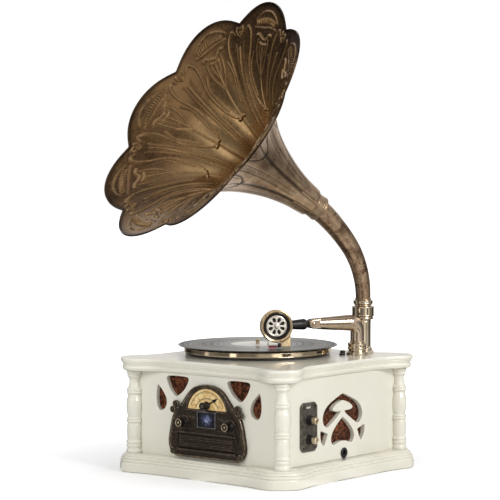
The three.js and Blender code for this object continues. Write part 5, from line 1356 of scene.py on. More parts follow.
def add_control_plate():
    stand = CABINET + GAP + 2.5
    w, h = PLATE_HALF
    inner_w, inner_h = w - PLATE_CLIP, h - PLATE_CLIP
    clipped = [
        [-inner_w, -h], [inner_w, -h], [w, -inner_h], [w, inner_h], [inner_w, h], [-inner_w, h],
        [-w, inner_h], [-w, -inner_h],
    ]
    outer = evened(clipped, 1.2, 4) + [PLATE_Y, PLATE_LEVEL]
    holes = [rectangle(16, 4, PLATE_Y, PLATE_LEVEL + 33.5, 1.8)]
    holes += [circle(FASCIA_SHAFT, PLATE_Y, z, 24) for z in SIDE_KNOB_LEVELS]
    shells = [
        plate(outer, holes, thickness=2.5, bevel=0.9),
        flat_line(evened(offset(outer, 3.2), 1.6, 4), 0.8, 0.1, 0.7, True),
        flat_line(rectangle(21, 9, PLATE_Y, 130, 3), 0.6, 0.1, 0.7, True),
        *[flat_line(circle(11.6, PLATE_Y, z, 44), 0.8, 0.1, 0.7, True) for z in SIDE_KNOB_LEVELS],
        level_line(PLATE_Y, 14, 62.5, 0.6, 0.1),
    ]
    side_piece("control_panel_plate", shells, "right", stand, "pewter", ["control_plate"])
    screws = []
    for across in (-17, 17):
        for level in (-37.5, 37.5):
            spot = (PLATE_Y + across, PLATE_LEVEL + level)
            screws.append(facing(turned(SCREW_HEAD, 0.3, 28), *spot))
            screws.append(block((4.4, 0.6, 0.5), (*spot, -1.1), 0.12))
    side_piece("control_plate_screws", screws, "right", stand, "dark_bronze", slot="steel")
    for level, place in zip(SIDE_KNOB_LEVELS, ("upper", "lower")):
        add_side_knob((PLATE_Y, level), place)


def add_side_knob(spot, place):
    """A black fluted barrel with a gold tip, whose sunk core is brass."""
    name = place + "_side_knob"
    settings = {"side": "right", "stand": CABINET + GAP + 2.5 + GAP, "body": place + "_knob"}
    barrel = turned(SIDE_BARREL, 0.5, 72, flutes=20, flute_depth=0.5, flute_span=(3.3, 9.0))
    tip = turned(SIDE_TIP, 0.4, 72, flutes=16, flute_depth=0.3, flute_span=(10.4, 16.6))
    core = turned(SIDE_CORE, 0.4, 32)
    side_piece(
        name + "_barrel", [facing(barrel, *spot)], finish="black", nodes=[name], **settings
    )
    placed = [facing(shell, *spot) for shell in (tip, core)]
    side_piece(name + "_tip", placed, finish=["tip_gold", "brass"], **settings)


def add_headphone_socket():
    socket = facing(turned(SOCKET, 0.5, 56), *JACK)
    side_piece("phone_socket", [socket], "right", CABINET, "black", ["headphone_socket"])
    ring = facing(turned(SOCKET_RING, 0.2, 48), *JACK)
    side_piece("phone_socket_ring", [ring], "right", CABINET, "black", slot="steel")


# Rear: mains inlet, socket plate and screws

INLET_X = 95
REAR_SOCKET_X = 10
REAR_LEVEL = 64
REAR_SCREW = [[0, 0], [2.4, 0], [2.2, 0.7], [1.0, 1.1], [0, 1.15]]
REAR_SOCKET = [[1.6, -9], [4.2, -9], [4.2, 7.4], [3.8, 8.8], [2.6, 9.0], [1.6, 8.4]]


def add_rear():
    stand = CABINET + GAP + 3
    opening_loop = rectangle(22, 16, INLET_X, 56, 2)
    wall_loop = rectangle(28, 22, INLET_X, 53, 1.5)
    shells = [
        plate(rectangle(36, 30, INLET_X, 49, 3), [opening_loop], thickness=3, bevel=0.8),
        plate(
            wall_loop, [opening_loop], thickness=19.5, bevel=0.2, hole_bevel=0.2, steps=1, sink=3
        ),
        plate(wall_loop, thickness=1.5, bevel=0.1, steps=1, sink=21),
    ]
    side_piece("inlet_housing", shells, "rear", stand, "black", ["mains_inlet"])
    pins = [block((2.2, 5, 12), (INLET_X + k * 7, REAR_LEVEL, 15), 0.5) for k in (-1, 0, 1)]
    side_piece("inlet_pins", pins, "rear", stand, "steel")

    stand = CABINET + GAP + 2
    centres = [(REAR_SOCKET_X + side * 15, REAR_LEVEL) for side in (-1, 1)]
    holes = [circle(1.6, *centre, 20) for centre in centres]
    outer = rectangle(60, 30, REAR_SOCKET_X, 49, 3)
    panel = plate(outer, holes, thickness=2, bevel=0.6, hole_bevel=0.2)
    shells = [on_side(panel, "rear", stand)]
    socket = turned(REAR_SOCKET, 0.4, 40)
    shells += [on_side(facing(socket, *centre), "rear", CABINET + GAP) for centre in centres]
    screw = turned(REAR_SCREW, 0.3, 24)
    for side in (-1, 1):
        shells.append(on_side(facing(screw, REAR_SOCKET_X + side * 26, REAR_LEVEL), "rear", stand))
    piece("rear_socket_panel", shells, "black", ["rear_socket_plate"])


# Turntable

TRACK_GAPS = (141, 128, 113, 99, 87)
MAT_LOW = 226.6
MAT_HIGH = 228.9
MAT = [
    [3.9, MAT_LOW], [132.2, MAT_LOW], [133, MAT_LOW + 0.5], [133, MAT_HIGH - 0.6], [132, MAT_HIGH],
    [60, MAT_HIGH], [59, MAT_HIGH - 0.4], [57, MAT_HIGH - 0.4], [56, MAT_HIGH], [3.9, MAT_HIGH],
]
PLATTER = [
    [3.9, 223.3], [48, 223.3], [48, 215.3], [52, 215.3], [52, 223.3], [134.5, 223.3], [134.5, 217.3],
    [138.8, 217.15], [139.4, 217.4], [139.5, 217.9], [139.1, 218.2], [139.1, 218.5], [139.4, 218.8],
    [139.1, 224.7], [138.6, 224.9], [138.6, 225.1], [138.8, 225.3], [138.7, 225.9], [137.8, 226.3],
    [3.9, 226.3],
]
SKIRT = [[131, 213.2], [136.2, 213.2], [137, 213.8], [137, 216.2], [136.4, 216.8], [131, 216.8]]
SPINDLE_PIN = [
    [0, 186], [3.55, 186], [3.55, 214.2], [11, 214.2], [11, 223.0], [3.55, 223.0], [3.55, 237.5],
    [3.2, 239.2], [2.4, 240.4], [1.2, 240.9], [0, 241],
]


def spun(name, shells, finish, nodes=()):
    placed = [moved(shell, *SPINDLE) for shell in shells]
    piece(name, placed, finish, nodes, body="turntable")


def add_record():
    """The record: grooved bands with smooth gaps, the run-out round the label, and the label."""
    bottom = RECORD_TOP - 2
    face = RECORD_TOP - 0.25
    bands = [
        [74, bottom], [149.6, bottom], [150.8, bottom + 1.0], [149.6, face + 0.12],
        [147.4, face + 0.12], [146.4, face],
    ]
    for middle in TRACK_GAPS:
        for aside, sunk in ((0.9, 0), (0.5, 0.12), (-0.5, 0.12), (-0.9, 0)):
            bands.append([middle + aside, face - sunk])
    bands.append([74, face])
    run_out = [
        [50.2, bottom + 0.1], [73.9, bottom + 0.1], [73.9, face - 0.02], [66, face - 0.06],
        [58, face - 0.06], [50.2, face - 0.02],
    ]
    # The run-out is in the lighter vinyl that paints a sheen round the label.
    shells = [turned(bands, 0.25, 192, 2), turned(run_out, 0.15, 160, 2)]
    spun("record_disc", shells, ["vinyl", "run_out_sheen_vinyl"], ["record"])
    label = [
        [3.75, bottom + 0.1], [50, bottom + 0.1], [50, RECORD_TOP - 0.08], [49.5, RECORD_TOP],
        [18.4, RECORD_TOP], [17.8, RECORD_TOP - 0.1], [16.8, RECORD_TOP - 0.1], [16.2, RECORD_TOP],
        [3.75, RECORD_TOP],
    ]
    spun("record_label", [lathe(label, 128)], "label_paper")


def add_turntable():
    add_record()
    spun("rubber_mat", [turned(MAT, 0.3, 160, 2)], "rubber", ["slip_mat"])
    spun("platter_disc", [turned(PLATTER, 0.3, 224, 2)], "bright_brass", ["platter"])
    spun("platter_skirt_ring", [turned(SKIRT, 0.3, 192, 2)], "black", ["platter_skirt"])
    spun("spindle_pin", [turned(SPINDLE_PIN, 0.3, 40)], "ring_gold", ["spindle"])


# Base plate, tonearm and head

BASE_PLATE_RADIUS = 20.5
ARC_STEPS = 28
# Steps of the base plate: inset, lower and upper level, softness of the edge
BASE_PLATE_STEPS = ((0, 212.3, 216.2, 1.2), (2.2, 216.0, 218.3, 1.0))
ARM_NUT = [
    [11.4, 218.6], [16.5, 218.6], [17.0, 219.4], [16.5, 220.4], [16.5, 221.6], [18.5, 222.8],
    [18.5, 225.0], [17.6, 225.8], [17.6, 230.4], [18.3, 231.2], [18.4, 233.2], [17.4, NUT_TOP],
    [15.2, NUT_TOP - 0.1], [11.4, NUT_TOP - 0.2],
]
ARM_LOW = NUT_TOP + GAP
ARM_BEND = 17
ARM_END = 84
ARM_RADIUS = 13.1
ARM_RISE = 0.85
ARM_FOOT = [[7.1, 218.9], [10.8, 218.9], [10.8, 234.9], [12.8, 234.9], [12.8, 236.5], [7.1, 236.5]]
ARM_COLLAR = [
    [12.9, ARM_LOW], [14.4, ARM_LOW + 0.3], [14.6, ARM_LOW + 1.8], [13.4, ARM_LOW + 2.8],
    [12.9, ARM_LOW + 3],
]
ARM_CLOSING = [[0, 0], [10.9, 0], [11.0, 2], [10.4, 3.2], [8.6, 4.0], [0, 4.2]]
PIVOT_LEVEL = ARM_LEVEL + 1
CHEEK_RADIUS = 9
PIN = [[0, -9.6], [2, -9.6], [2, 9.6], [0, 9.6]]
PIN_HEAD = [[0, 9.9], [3.6, 9.9], [3.4, 10.8], [1.8, 11.5], [0, 11.6]]


def arm_point(reach, level, across=0.0):
    return np.array([ARM[0], ARM[1], level]) + ARM_ALONG * reach + ARM_ACROSS * across


def add_base_plate():
    heading = math.atan2(POST[1] - ARM[1], POST[0] - ARM[0])
    loop = []
    for centre, start in ((POST, heading - math.pi / 2), (ARM, heading + math.pi / 2)):
        for k in range(ARC_STEPS + 1):
            turn = start + math.pi * k / ARC_STEPS
            loop.append(centre + BASE_PLATE_RADIUS * np.array([math.cos(turn), math.sin(turn)]))
    shells = []
    for inset, low, high, bevel in BASE_PLATE_STEPS:
        outer = offset(np.array(loop), inset)
        step = plate(outer, thickness=high - low, bevel=bevel, steps=4)
        shells.append(laid(step, high))
    piece("arm_base_plate", shells, "brass", ["base_plate"])
    piece("arm_base_nut", [moved(turned(ARM_NUT, 0.6, 72), *ARM)], "brass", ["arm_nut"])


def add_tonearm():
    """The elbow tube with its foot and collar, and the fork with its hinge pin."""
    points = [arm_point(0, z) for z in np.linspace(ARM_LOW, ARM_LEVEL - ARM_BEND, 10)]
    radii = [ARM_RADIUS] * 10
    for k in range(1, 17):
        turn = k / 16 * math.pi / 2
        level = ARM_LEVEL - ARM_BEND + ARM_BEND * math.sin(turn)
        points.append(arm_point(ARM_BEND * (1 - math.cos(turn)), level))
        radii.append(ARM_RADIUS + 2.1 * k / 16)
    for k in range(1, 13):
        share = k / 12
        reach = ARM_BEND + (ARM_END - ARM_BEND) * share
        points.append(arm_point(reach, ARM_LEVEL + share * ARM_RISE))
        radii.append(ARM_RADIUS + 2.1 - 4.4 * share)
    shells = [
        sweep(points, radii, 48, ARM_ACROSS),
        moved(lathe(ARM_FOOT, 48), *ARM),
        moved(turned(ARM_COLLAR, 0.4, 64), *ARM),
    ]
    # The fork: two cheeks with round ends, either side of the neck.
    stadium = []
    for turn in np.radians(np.linspace(-90, 90, 25)):
        reach = FORK_REACH + CHEEK_RADIUS * math.cos(turn)
        stadium.append([reach, CHEEK_RADIUS * math.sin(turn)])
    stadium += [[FORK_REACH - back, up] for back, up in ((14, 9.8), (17, 9.8), (17, -9.8), (14, -9.8))]
    hole = circle(2.1, FORK_REACH, 0, 20)
    outer = evened(stadium, 1.2, 2)
    cheek, faces = plate(outer, [hole], thickness=4.3, bevel=3.0, hole_bevel=0.2, steps=6)
    for side in (-1, 1):
        placed = [arm_point(a, PIVOT_LEVEL + b, side * (9.9 - c)) for a, b, c in cheek]
        shells.append((np.array(placed), faces))
    # The end of the tube behind the fork.
    end = arm_point(ARM_END - 3.4, ARM_LEVEL + ARM_RISE)
    shells.append(aimed(turned(ARM_CLOSING, 0.5, 48), ARM_ALONG, end))
    piece("tonearm_pipe", shells, "arm_brass", ["tonearm_tube"], body="tonearm")
    hinge = arm_point(FORK_REACH, PIVOT_LEVEL)
    head = turned(PIN_HEAD, 0.4, 28)
    shells = [aimed(turned(PIN, 0.3, 24, 2), ARM_ACROSS, hinge)]
    shells += [aimed(head, ARM_ACROSS * side, hinge) for side in (-1, 1)]
    piece("fork_pin", shells, "arm_brass", ["arm_pin"], body="tonearm", slot="steel")


HEAD_CENTRE = arm_point(HEAD_REACH, HEAD_LEVEL)
NECK_BARREL = [[0, -5.2], [8.2, -5.2], [8.6, -4.4], [8.6, 4.4], [8.2, 5.2], [0, 5.2]]
# The neck's reach from the arm's axis and its radius there
NECK_TUBE = [
    (97, 5.1), (104, 5.1), (107, 6.4), (110, 8.8), (113, 10.1), (115, 10.3), (117, 10.2), (118, 9.4),
    (119, 9.4), (120, 9.9), (122, 9.8), (124, 9.5), (130, 9.1), (136, 8.6), (139, 8.5), (140.5, 8.0),
    (143, 7.4),
]
BOX_RING = [
    [25.2, -7.5], [28.6, -7.5], [30.2, -6.4], [30.4, -5.0], [29.9, -4.2], [29.9, 4.0], [30.4, 4.8],
    [30.2, 6.4], [28.8, 7.5], [27.6, 7.3], [27.0, 6.6], [26.2, 6.4], [25.4, 5.6], [25.2, 4.4],
]
BOX_CUP = [
    [0, -7.5], [8, -7.9], [16, -7.7], [24.8, -7.4], [24.8, 4.2], [23.6, 4.6], [22.2, 4.0], [20.4, 2.6],
    [20.2, 0.4], [0, 0.4],
]
ROSETTE_BOSS = [[0, 2.0], [5.6, 2.0], [5.4, 3.4], [4.2, 3.7], [3.4, 4.4], [2.0, 4.9], [0, 5.0]]
ROSETTE_BEAD = [[17.6, 2.4], [19.2, 2.4], [19.3, 3.2], [18.4, 3.6], [17.6, 3.2]]
NEEDLE = [[0, 0], [0.5, 0.8], [0.5, 3], [0, 3.2]]


def head_placed(shell):
    """A shell of (along, up, out) points, seen from the sound box's centre."""
    points, faces = shell
    placed = points @ np.array([HEAD_ALONG, UP, HEAD_NORMAL])
    return placed + HEAD_CENTRE, faces


def under_ring(low_x, high_x, bottom, top=99.0):
    """An outline below the ring, whose upper edge follows the ring; bottom is a level of the frame,
    and top is a highest level from the ring's centre."""
    across = np.linspace(high_x, low_x, 18)
    upper = np.minimum(-np.sqrt(30.9**2 - across**2), top)
    base = bottom - HEAD_LEVEL
    return evened([[low_x, base], [high_x, base], *zip(across, upper)], 0.9, 1)


def head_plate(outline, thickness, bevel=0.6):
    shell = plate(outline, thickness=thickness - bevel, bevel=bevel)
    return head_placed(laid(shell, thickness / 2))


def head_piece(name, shells, finish, nodes):
    piece(name, shells, finish, nodes, body="tonearm_head")


def turned_on_head(profile, softness, sides):
    return aimed(turned(profile, softness, sides), HEAD_NORMAL, HEAD_CENTRE)


def rosette_holes():
    """Eight drop-shaped openings round the middle."""
    holes = []
    for number in range(8):
        turn = (number + 0.5) * TAU / 8
        outwards = np.array([math.cos(turn), math.sin(turn)])
        side = np.array([-outwards[1], outwards[0]])
        outline = []
        for angle in np.arange(28) / 28 * TAU:
            along = 11.6 + 4.5 * math.cos(angle)
            width = 2.9 * math.sin(angle) * (1 + 0.32 * math.cos(angle))
            outline.append(outwards * along + side * width)
        holes.append(evened(outline, 0.7, 1))
    return holes


def add_head():
    barrel = turned(NECK_BARREL, 0.4, 40)
    start = NECK_TUBE[0][0]
    path = [arm_point(r, PIVOT_LEVEL - (r - start) / 44 * 0.75) for r, _ in NECK_TUBE]
    shells = [
        aimed(barrel, ARM_ACROSS, arm_point(FORK_REACH, PIVOT_LEVEL)),
        sweep(path, [radius for _, radius in NECK_TUBE], 40, UP),
    ]
    head_piece("head_neck_tube", shells, "matt_black", ["head_neck"])
    ring = turned_on_head(BOX_RING, 0.7, 96)
    head_piece("sound_box_rim", [ring], "ring_gold", ["sound_box_ring"])
    cup = turned_on_head(BOX_CUP, 0.6, 80)
    head_piece("sound_box_dish", [cup], "dish_bronze", ["sound_box_cup"])
    disc = plate(
        circle(19.8, 0, 0, 96), rosette_holes(), thickness=2, bevel=0.5, hole_bevel=0.5
    )
    shells = [
        head_placed(laid(disc, 2.9)),
        turned_on_head(ROSETTE_BOSS, 0.4, 48),
        turned_on_head(ROSETTE_BEAD, 0.3, 96),
    ]
    head_piece("pierced_rosette", shells, "pale_metal", ["sound_box_rosette"])
    shells = [
        head_plate(under_ring(-6.75, 15.75, 235.6, -26.4), 12),
        head_plate(rectangle(22.9, 1.2, 4.5, 236.6 - HEAD_LEVEL, 0.4), 12.5, 0.3),
        head_plate(under_ring(-6.75, -1.3, 232.5, -30.9), 12.2),
    ]
    head_piece("cartridge_body", shells, ["ivory", "black", "black"], ["cartridge"])
    tip = aimed(lathe(NEEDLE, 12), UP, arm_point(HEAD_REACH, 231.25) + HEAD_ALONG * 11)
    bar = head_plate(rectangle(15.8, 3.2, 7.0, 231.9 - HEAD_LEVEL, 1.2), 4.2, 0.8)
    head_piece("stylus_bar", [bar, tip], "red", ["stylus"])
    foot = head_plate(under_ring(-26.4, -7.6, 232.6), 10, 0.9)
    head_piece("ring_bracket", [foot], "ring_gold", ["head_bracket"])


LEVER_HEADING = math.radians(303)
LEVER_BOSS = [[0, 212.4], [5, 212.4], [5, 217.6], [4.2, 218.9], [2, 219.3], [0, 219.3]]
LEVER_PADDLE = [
    [-3, -4.2], [8, -4.4], [16, -5.5], [21, -4.2], [22, 0], [21, 4.2], [16, 5.5], [8, 4.4], [-3, 4.2],
]


def add_lever():
    boss = moved(turned(LEVER_BOSS, 0.5, 40), *LEVER)
    paddle = plate(evened(LEVER_PADDLE, 1.0, 3), thickness=3.4, bevel=1.1, steps=4)
    shells = [boss, laid(paddle, 215.7, LEVER, LEVER_HEADING)]
    piece("lock_lever_paddle", shells, "black", ["arm_lock_lever"], body="lock_lever")


# Horn post

PILLAR = [
    [11.6, 218.6], [17.5, 218.6], [17.5, 220.6], [16.8, 221.4], [16.8, 222.2], [16.0, 223.1],
    [14.9, 224.2], [14.9, 270.6], [15.6, 271.6], [15.0, 272.8], [15.0, 275.0], [17.6, 276.1],
    [19.4, 276.5], [20, 278.0], [19.4, 280.6], [18.2, 281.7], [11.6, 281.7],
]
PILLAR_COLLAR = [
    [11.6, 282.0], [20.6, 282.0], [21.4, 283.2], [20.9, 284.4], [20.9, 298.2], [21.4, 299.2],
    [20.6, 300.7], [17.2, 301.6], [16.0, 303.2], [16.6, 304.6], [18.6, 305.6], [19.0, 306.6],
    [18.5, 307.6], [18.5, 310.4], [19.0, 311.2], [18.4, 312.4], [11.6, 312.4],
]


def add_post():
    piece("horn_pillar", [moved(turned(PILLAR, 0.7, 80), *POST)], "brass", ["horn_post"])
    collar = moved(turned(PILLAR_COLLAR, 0.6, 80), *POST)
    piece("horn_pillar_collar", [collar], "brass", ["horn_collar"])


# Horn

HORN_TURN = math.radians(17.1)
HORN_RISE = math.radians(32.4)
FORWARD = np.array([-math.sin(HORN_TURN), -math.cos(HORN_TURN), 0.0])
SIDEWAYS = np.array([-FORWARD[1], FORWARD[0], 0.0])
AXIS = FORWARD * math.cos(HORN_RISE) + UP * math.sin(HORN_RISE)
HORN_UP = np.cross(AXIS, SIDEWAYS) / np.linalg.norm(np.cross(AXIS, SIDEWAYS))
NECK_FORWARD = 124.2
NECK_LEVEL = 501.0
ELBOW_START = 312.7
BEND_START = ELBOW_START + 6
TIGHT_RADIUS = 164
TIGHT_TURN = math.radians(38.7)
ELBOW_SIDES = 56
ELBOW_WALL = 2
SPIGOT = [[9, 286.4], [11, 286.4], [11, 318.4], [9, 318.4]]
HEM = [[13.2, 312.8], [15.4, 312.9], [15.8, 314.2], [15.4, 315.6], [14.4, 316.2], [13.2, 316.2]]
FERRULE = [
    [22.7, -24.7], [24.5, -24.7], [24.7, -24.0], [24.5, -23.0], [23.7, -21.8], [23.7, -19.0],
    [24.2, -18.4], [23.7, -17.8], [23.7, -5.6], [24.2, -5.0], [23.7, -4.4], [23.7, -1.2],
    [25.5, -0.6], [25.5, 8.0], [22.7, 8.0],
]


def horn_plane(ahead, level):
    return np.array([POST[0], POST[1], level]) + FORWARD * ahead


NECK = horn_plane(NECK_FORWARD, NECK_LEVEL)


def add_elbow():
    """The swan neck: a short straight start, a tight bend and then an easier one up to the bell."""
    points = [horn_plane(0, ELBOW_START + up) for up in (0, 2, 4)]
    for turn in np.linspace(0, TIGHT_TURN, 40):
        ahead = TIGHT_RADIUS * (1 - math.cos(turn))
        points.append(horn_plane(ahead, BEND_START + TIGHT_RADIUS * math.sin(turn)))
    end_ahead = TIGHT_RADIUS * (1 - math.cos(TIGHT_TURN))
    end_level = BEND_START + TIGHT_RADIUS * math.sin(TIGHT_TURN)
    easy_turn = math.pi / 2 - HORN_RISE - TIGHT_TURN
    apart = math.hypot(NECK_FORWARD - end_ahead, NECK_LEVEL - end_level)
    easy_radius = apart / (2 * math.sin(easy_turn / 2))
    for share in np.linspace(0, 1, 29)[1:]:
        turn = TIGHT_TURN + share * easy_turn
        ahead = end_ahead + easy_radius * (math.cos(TIGHT_TURN) - math.cos(turn))
        level = end_level + easy_radius * (math.sin(turn) - math.sin(TIGHT_TURN))
        points.append(horn_plane(ahead, level))
    radii = 14 + 7.5 * np.linspace(0, 1, len(points)) ** 1.3
    outer, inner = [
        sweep(points, size, ELBOW_SIDES, SIDEWAYS)[0].reshape(len(points), ELBOW_SIDES, 3)
        for size in (radii, radii - ELBOW_WALL)
    ]
    shells = [
        loft([*outer, *inner[::-1]], True),
        moved(lathe(SPIGOT, 48), *POST),
        moved(turned(HEM, 0.5, 64), *POST),
    ]
    piece("swan_neck", shells, "neck_bronze", ["horn_elbow"], body="horn", crisp=False)


def add_ferrule():
    shell = aimed(turned(FERRULE, 0.4, 96), AXIS, NECK)
    piece("horn_sleeve", [shell], "satin_brass", ["horn_ferrule"], body="horn")


# Bell of the horn, with its relief

PETALS = 8
BELL_LENGTH = 276
BELL_NECK = 27.7
BELL_VALLEY = 224.3
BELL_TIP = 252.6
PETAL_FORWARD = 12.9
PETAL_PHASE = math.radians(-14.6)
LOBE_POWER = 1.16
CREASE_SHARE = 0.055
BELL_WALL = 1.6
SET_IN = 1.2
FLARE = [
    [0, 0], [0.15, 0.027], [0.3, 0.079], [0.45, 0.156], [0.6, 0.26], [0.75, 0.412], [0.88, 0.637], [1, 1],
]
FLARE_LINE = spline(FLARE, 24)


def bell_radius(way, local):
    """Radius at a way from the neck (0) to the rim (1); local is 0 in the middle of a petal and 1 or
    -1 where two petals meet."""
    flare = np.interp(way, FLARE_LINE[:, 0], FLARE_LINE[:, 1])
    lobe = np.maximum(0, 1 - local**2) ** LOBE_POWER
    growth = (1 - CREASE_SHARE) * way**5 + CREASE_SHARE * flare
    valley = BELL_NECK + (BELL_VALLEY - BELL_NECK) * flare
    return valley + (BELL_TIP - BELL_VALLEY) * lobe * growth - SET_IN * way**3


def petal_half(way):
    """Half the breadth of a petal, round the axis."""
    return bell_radius(way, 0) * math.pi / PETALS


def bell_points(way, turn):
    """Points of the bell's outside, for a way from the neck to the rim and a turn round the axis."""
    local = (turn / (TAU / PETALS)) % 1 * 2 - 1
    lobe = np.maximum(0, 1 - local**2) ** LOBE_POWER
    radius = bell_radius(way, local)
    along = BELL_LENGTH * way + (PETAL_FORWARD - SET_IN) * lobe * way**5 + GAP
    angle = PETAL_PHASE - turn
    up = (radius * np.cos(angle))[..., None] * HORN_UP
    return NECK + along[..., None] * AXIS + up + (radius * np.sin(angle))[..., None] * SIDEWAYS


# Lines of one petal's relief as (way, local)
STEM = [[0.16, 0], [0.4, 0], [0.649, 0], [0.74, 0.01], [0.82, -0.01], [0.892, 0]]
WHIP = [
    [0.652, 0.05], [0.668, 0.3], [0.7, 0.46], [0.735, 0.56], [0.79, 0.64], [0.83, 0.66], [0.872, 0.62],
    [0.905, 0.565], [0.937, 0.575], [0.958, 0.645], [0.968, 0.74], [0.962, 0.82],
]
SECOND_WHIP = [[0.72, 0.4], [0.76, 0.46], [0.8, 0.52], [0.833, 0.56], [0.857, 0.53], [0.885, 0.42]]
TENDRIL = [[0.79, 0], [0.822, 0.1], [0.853, 0.22], [0.895, 0.27], [0.915, 0.24]]
SMALL_TENDRIL = [[0.84, 0], [0.865, 0.08], [0.885, 0.14], [0.905, 0.12]]
LEAF = [[0.93, -0.34], [0.926, -0.2], [0.913, -0.06], [0.917, 0.08], [0.926, 0.2], [0.928, 0.32]]
SECOND_LEAF = [[0.903, -0.16], [0.9, 0.0], [0.906, 0.14]]
CRESCENT_INNER = [[0.95, -0.5], [0.945, -0.25], [0.941, 0], [0.943, 0.25], [0.95, 0.45]]
CRESCENT_OUTER = [[0.966, -0.5], [0.975, -0.28], [0.979, 0], [0.975, 0.24], [0.966, 0.43]]
VALLEY = [[0.05, 1.0], [0.5, 1.0], [0.93, 1.0]]
VALLEY_SIDE = [[0.2, 0.72], [0.45, 0.78], [0.7, 0.85], [0.9, 0.88], [0.935, 0.86]]
# Each line with its width and height in millimetres, the sides of the petal that it is drawn on, and
# the depth of the shadow beside it as a share of its height
BOTH = (1, -1)
RELIEF_LINES = [
    (WHIP, 2.9, 1.9, BOTH, 0.7), (SECOND_WHIP, 2.5, 1.4, BOTH, 0.7), (TENDRIL, 2.6, 1.6, BOTH, 0.7),
    (SMALL_TENDRIL, 2.2, 1.3, BOTH, 0.7), (STEM, 2.8, 1.9, (1,), 0.7), (VALLEY, 3.2, 1.9, BOTH, 0.7),
    (VALLEY_SIDE, 2.4, 1.0, BOTH, 0.7), (LEAF, 3.6, 2.6, (1,), 0.5), (SECOND_LEAF, 3.8, 2.6, (1,), 0.5),
]
GROUND = 0.12
# The knot's parts: shift to the side, length along the stem, breadth and height
KNOT = ((5.6, 3.4, 5.2, 3.6), (-5.6, 3.4, 5.2, 3.6), (0, 4.4, 2.4, 4.4))
SUNK = -0.9
MEDALLION = 13


def line_distance(grid, line):
    """Distance of each grid point to a line, on the flattened petal."""
    best = np.full(grid.shape[:2], np.inf)
    for a, b in zip(line, line[1:]):
        step = b - a
        share = np.clip(((grid - a) @ step) / (step @ step + TINY), 0, 1)
        near = a + share[..., None] * step
        best = np.minimum(best, np.linalg.norm(grid - near, axis=-1))
    return best


def raised(distance, width):
    return np.maximum(0, 1 - (distance / width) ** 2) ** 2


def petal_slope():
    """Ways along the middle of a petal, and the length of metal up to each."""
    ways = np.linspace(0, 1, 401)
    points = bell_points(ways, np.full(401, math.pi / PETALS))
    steps = np.linalg.norm(np.diff(points, axis=0), axis=1)
    return ways, np.concatenate([[0], np.cumsum(steps)])


SLOPE = petal_slope()


def flattened(line, mirror=1, steps=8):
    """A line of the relief as a curve on the flattened petal, in millimetres along and across."""
    curve = spline(line, steps)
    at = np.interp(curve[:, 0], *SLOPE)
    return np.column_stack([at, curve[:, 1] * petal_half(curve[:, 0]) * mirror])


def petal_relief(ways, locals_):
    """Height of the relief over one petal, in millimetres, for each way and local place."""
    slope = np.interp(ways, *SLOPE)
    along = np.broadcast_to(slope[:, None], (len(ways), len(locals_)))
    across = petal_half(ways)[:, None] * locals_
    grid = np.stack([along, across], -1)
    height = np.zeros(along.shape)
    for line, width, lift, sides, dip in RELIEF_LINES:
        for mirror in sides:
            distance = line_distance(grid, flattened(line, mirror))
            height = np.maximum(height, lift * raised(distance, width))
            shadow = -dip * lift * raised(np.abs(distance - width * 1.5), width)
            height = np.where(np.abs(height) < GROUND, height + shadow, height)
    # The tied knot on the stem: two lobes and a band.
    knot = flattened([[0.649, 0], [0.65, 0.001]])[0]
    for shift, tall, wide, lift in KNOT:
        near = np.hypot((along - knot[0] + shift * 0.25) / tall, (across - shift) / wide)
        height = np.maximum(height, lift * np.maximum(0, 1 - near**2) ** 0.7)
    # The crescent: a sunk band between two lines, with short raised strokes along its inner side, which
    # carry the painted highlight.
    inner = flattened(CRESCENT_INNER)
    outer = flattened(CRESCENT_OUTER)
    low = np.interp(across, inner[:, 1], inner[:, 0], left=np.inf, right=np.inf)
    high = np.interp(across, outer[:, 1], outer[:, 0], left=-np.inf, right=-np.inf)
    inside = np.minimum(along - low, high - along)
    height = np.where(inside > 0, SUNK * np.clip(inside / 2.5, 0, 1), height)
    height = np.maximum(height, 2.0 * raised(line_distance(grid, outer), 2.3))
    height = np.maximum(height, 1.6 * raised(line_distance(grid, inner), 2.0))
    for place in np.linspace(-0.36, 0.34, 12):
        stroke = flattened([[0.953, place], [0.963, place * 1.04]], 1, 2)
        height = np.maximum(height, 2.4 * raised(line_distance(grid, stroke), 2.1))
    # Ring medallions where two petals meet, just inside the rim.
    for side in BOTH:
        spot = flattened([[0.972, side], [0.974, side]])[0]
        reach = np.hypot(along - spot[0], across - spot[1])
        height = np.where(reach < MEDALLION, SUNK * np.clip((MEDALLION - reach) / 2, 0, 1), height)
        height = np.maximum(height, 2.4 * raised(np.abs(reach - 9.6), 2.8))
        height = np.maximum(height, 2.0 * raised(reach, 4.2))
    # The rolled rim.
    edge = slope[-1] - along
    height = np.where(edge < 5, np.maximum(0, height), height)
    return np.maximum(height, 1.5 * raised(edge - 0.6, 2.6))


def bell_normals(points):
    """Normals that point away from the axis."""
    along = np.gradient(points, axis=0)
    around = np.roll(points, -1, 1) - np.roll(points, 1, 1)
    normal = np.cross(along, around)
    normal /= np.linalg.norm(normal, axis=-1)[..., None] + TINY
    out = points - NECK
    out = out - (out @ AXIS)[..., None] * AXIS
    return normal * np.sign(np.sum(normal * out, -1))[..., None]


def add_attribute(mesh, name, outer, inner):
    """A value for each point of the bell, from grids for the outside and for the inside."""
    values = np.concatenate([outer, inner[::-1]]).ravel()
    made = mesh.attributes.new(name, "FLOAT", "POINT")
    made.data.foreach_set("value", values.astype(np.float32))


PER_PETAL = 120
FINE_WAY = 0.6
RIM_SHARE = 0.014
RIB_WIDTH = 2.4
RIB_END = 0.93
PRINT_SHARE = -0.45
GROOVE_PLACE = 3.0
GROOVE_WIDTH = 2.1
GROOVE_DEPTH = 0.55
RELIEF_UNIT = 1.8
THROAT_WAY = 0.56
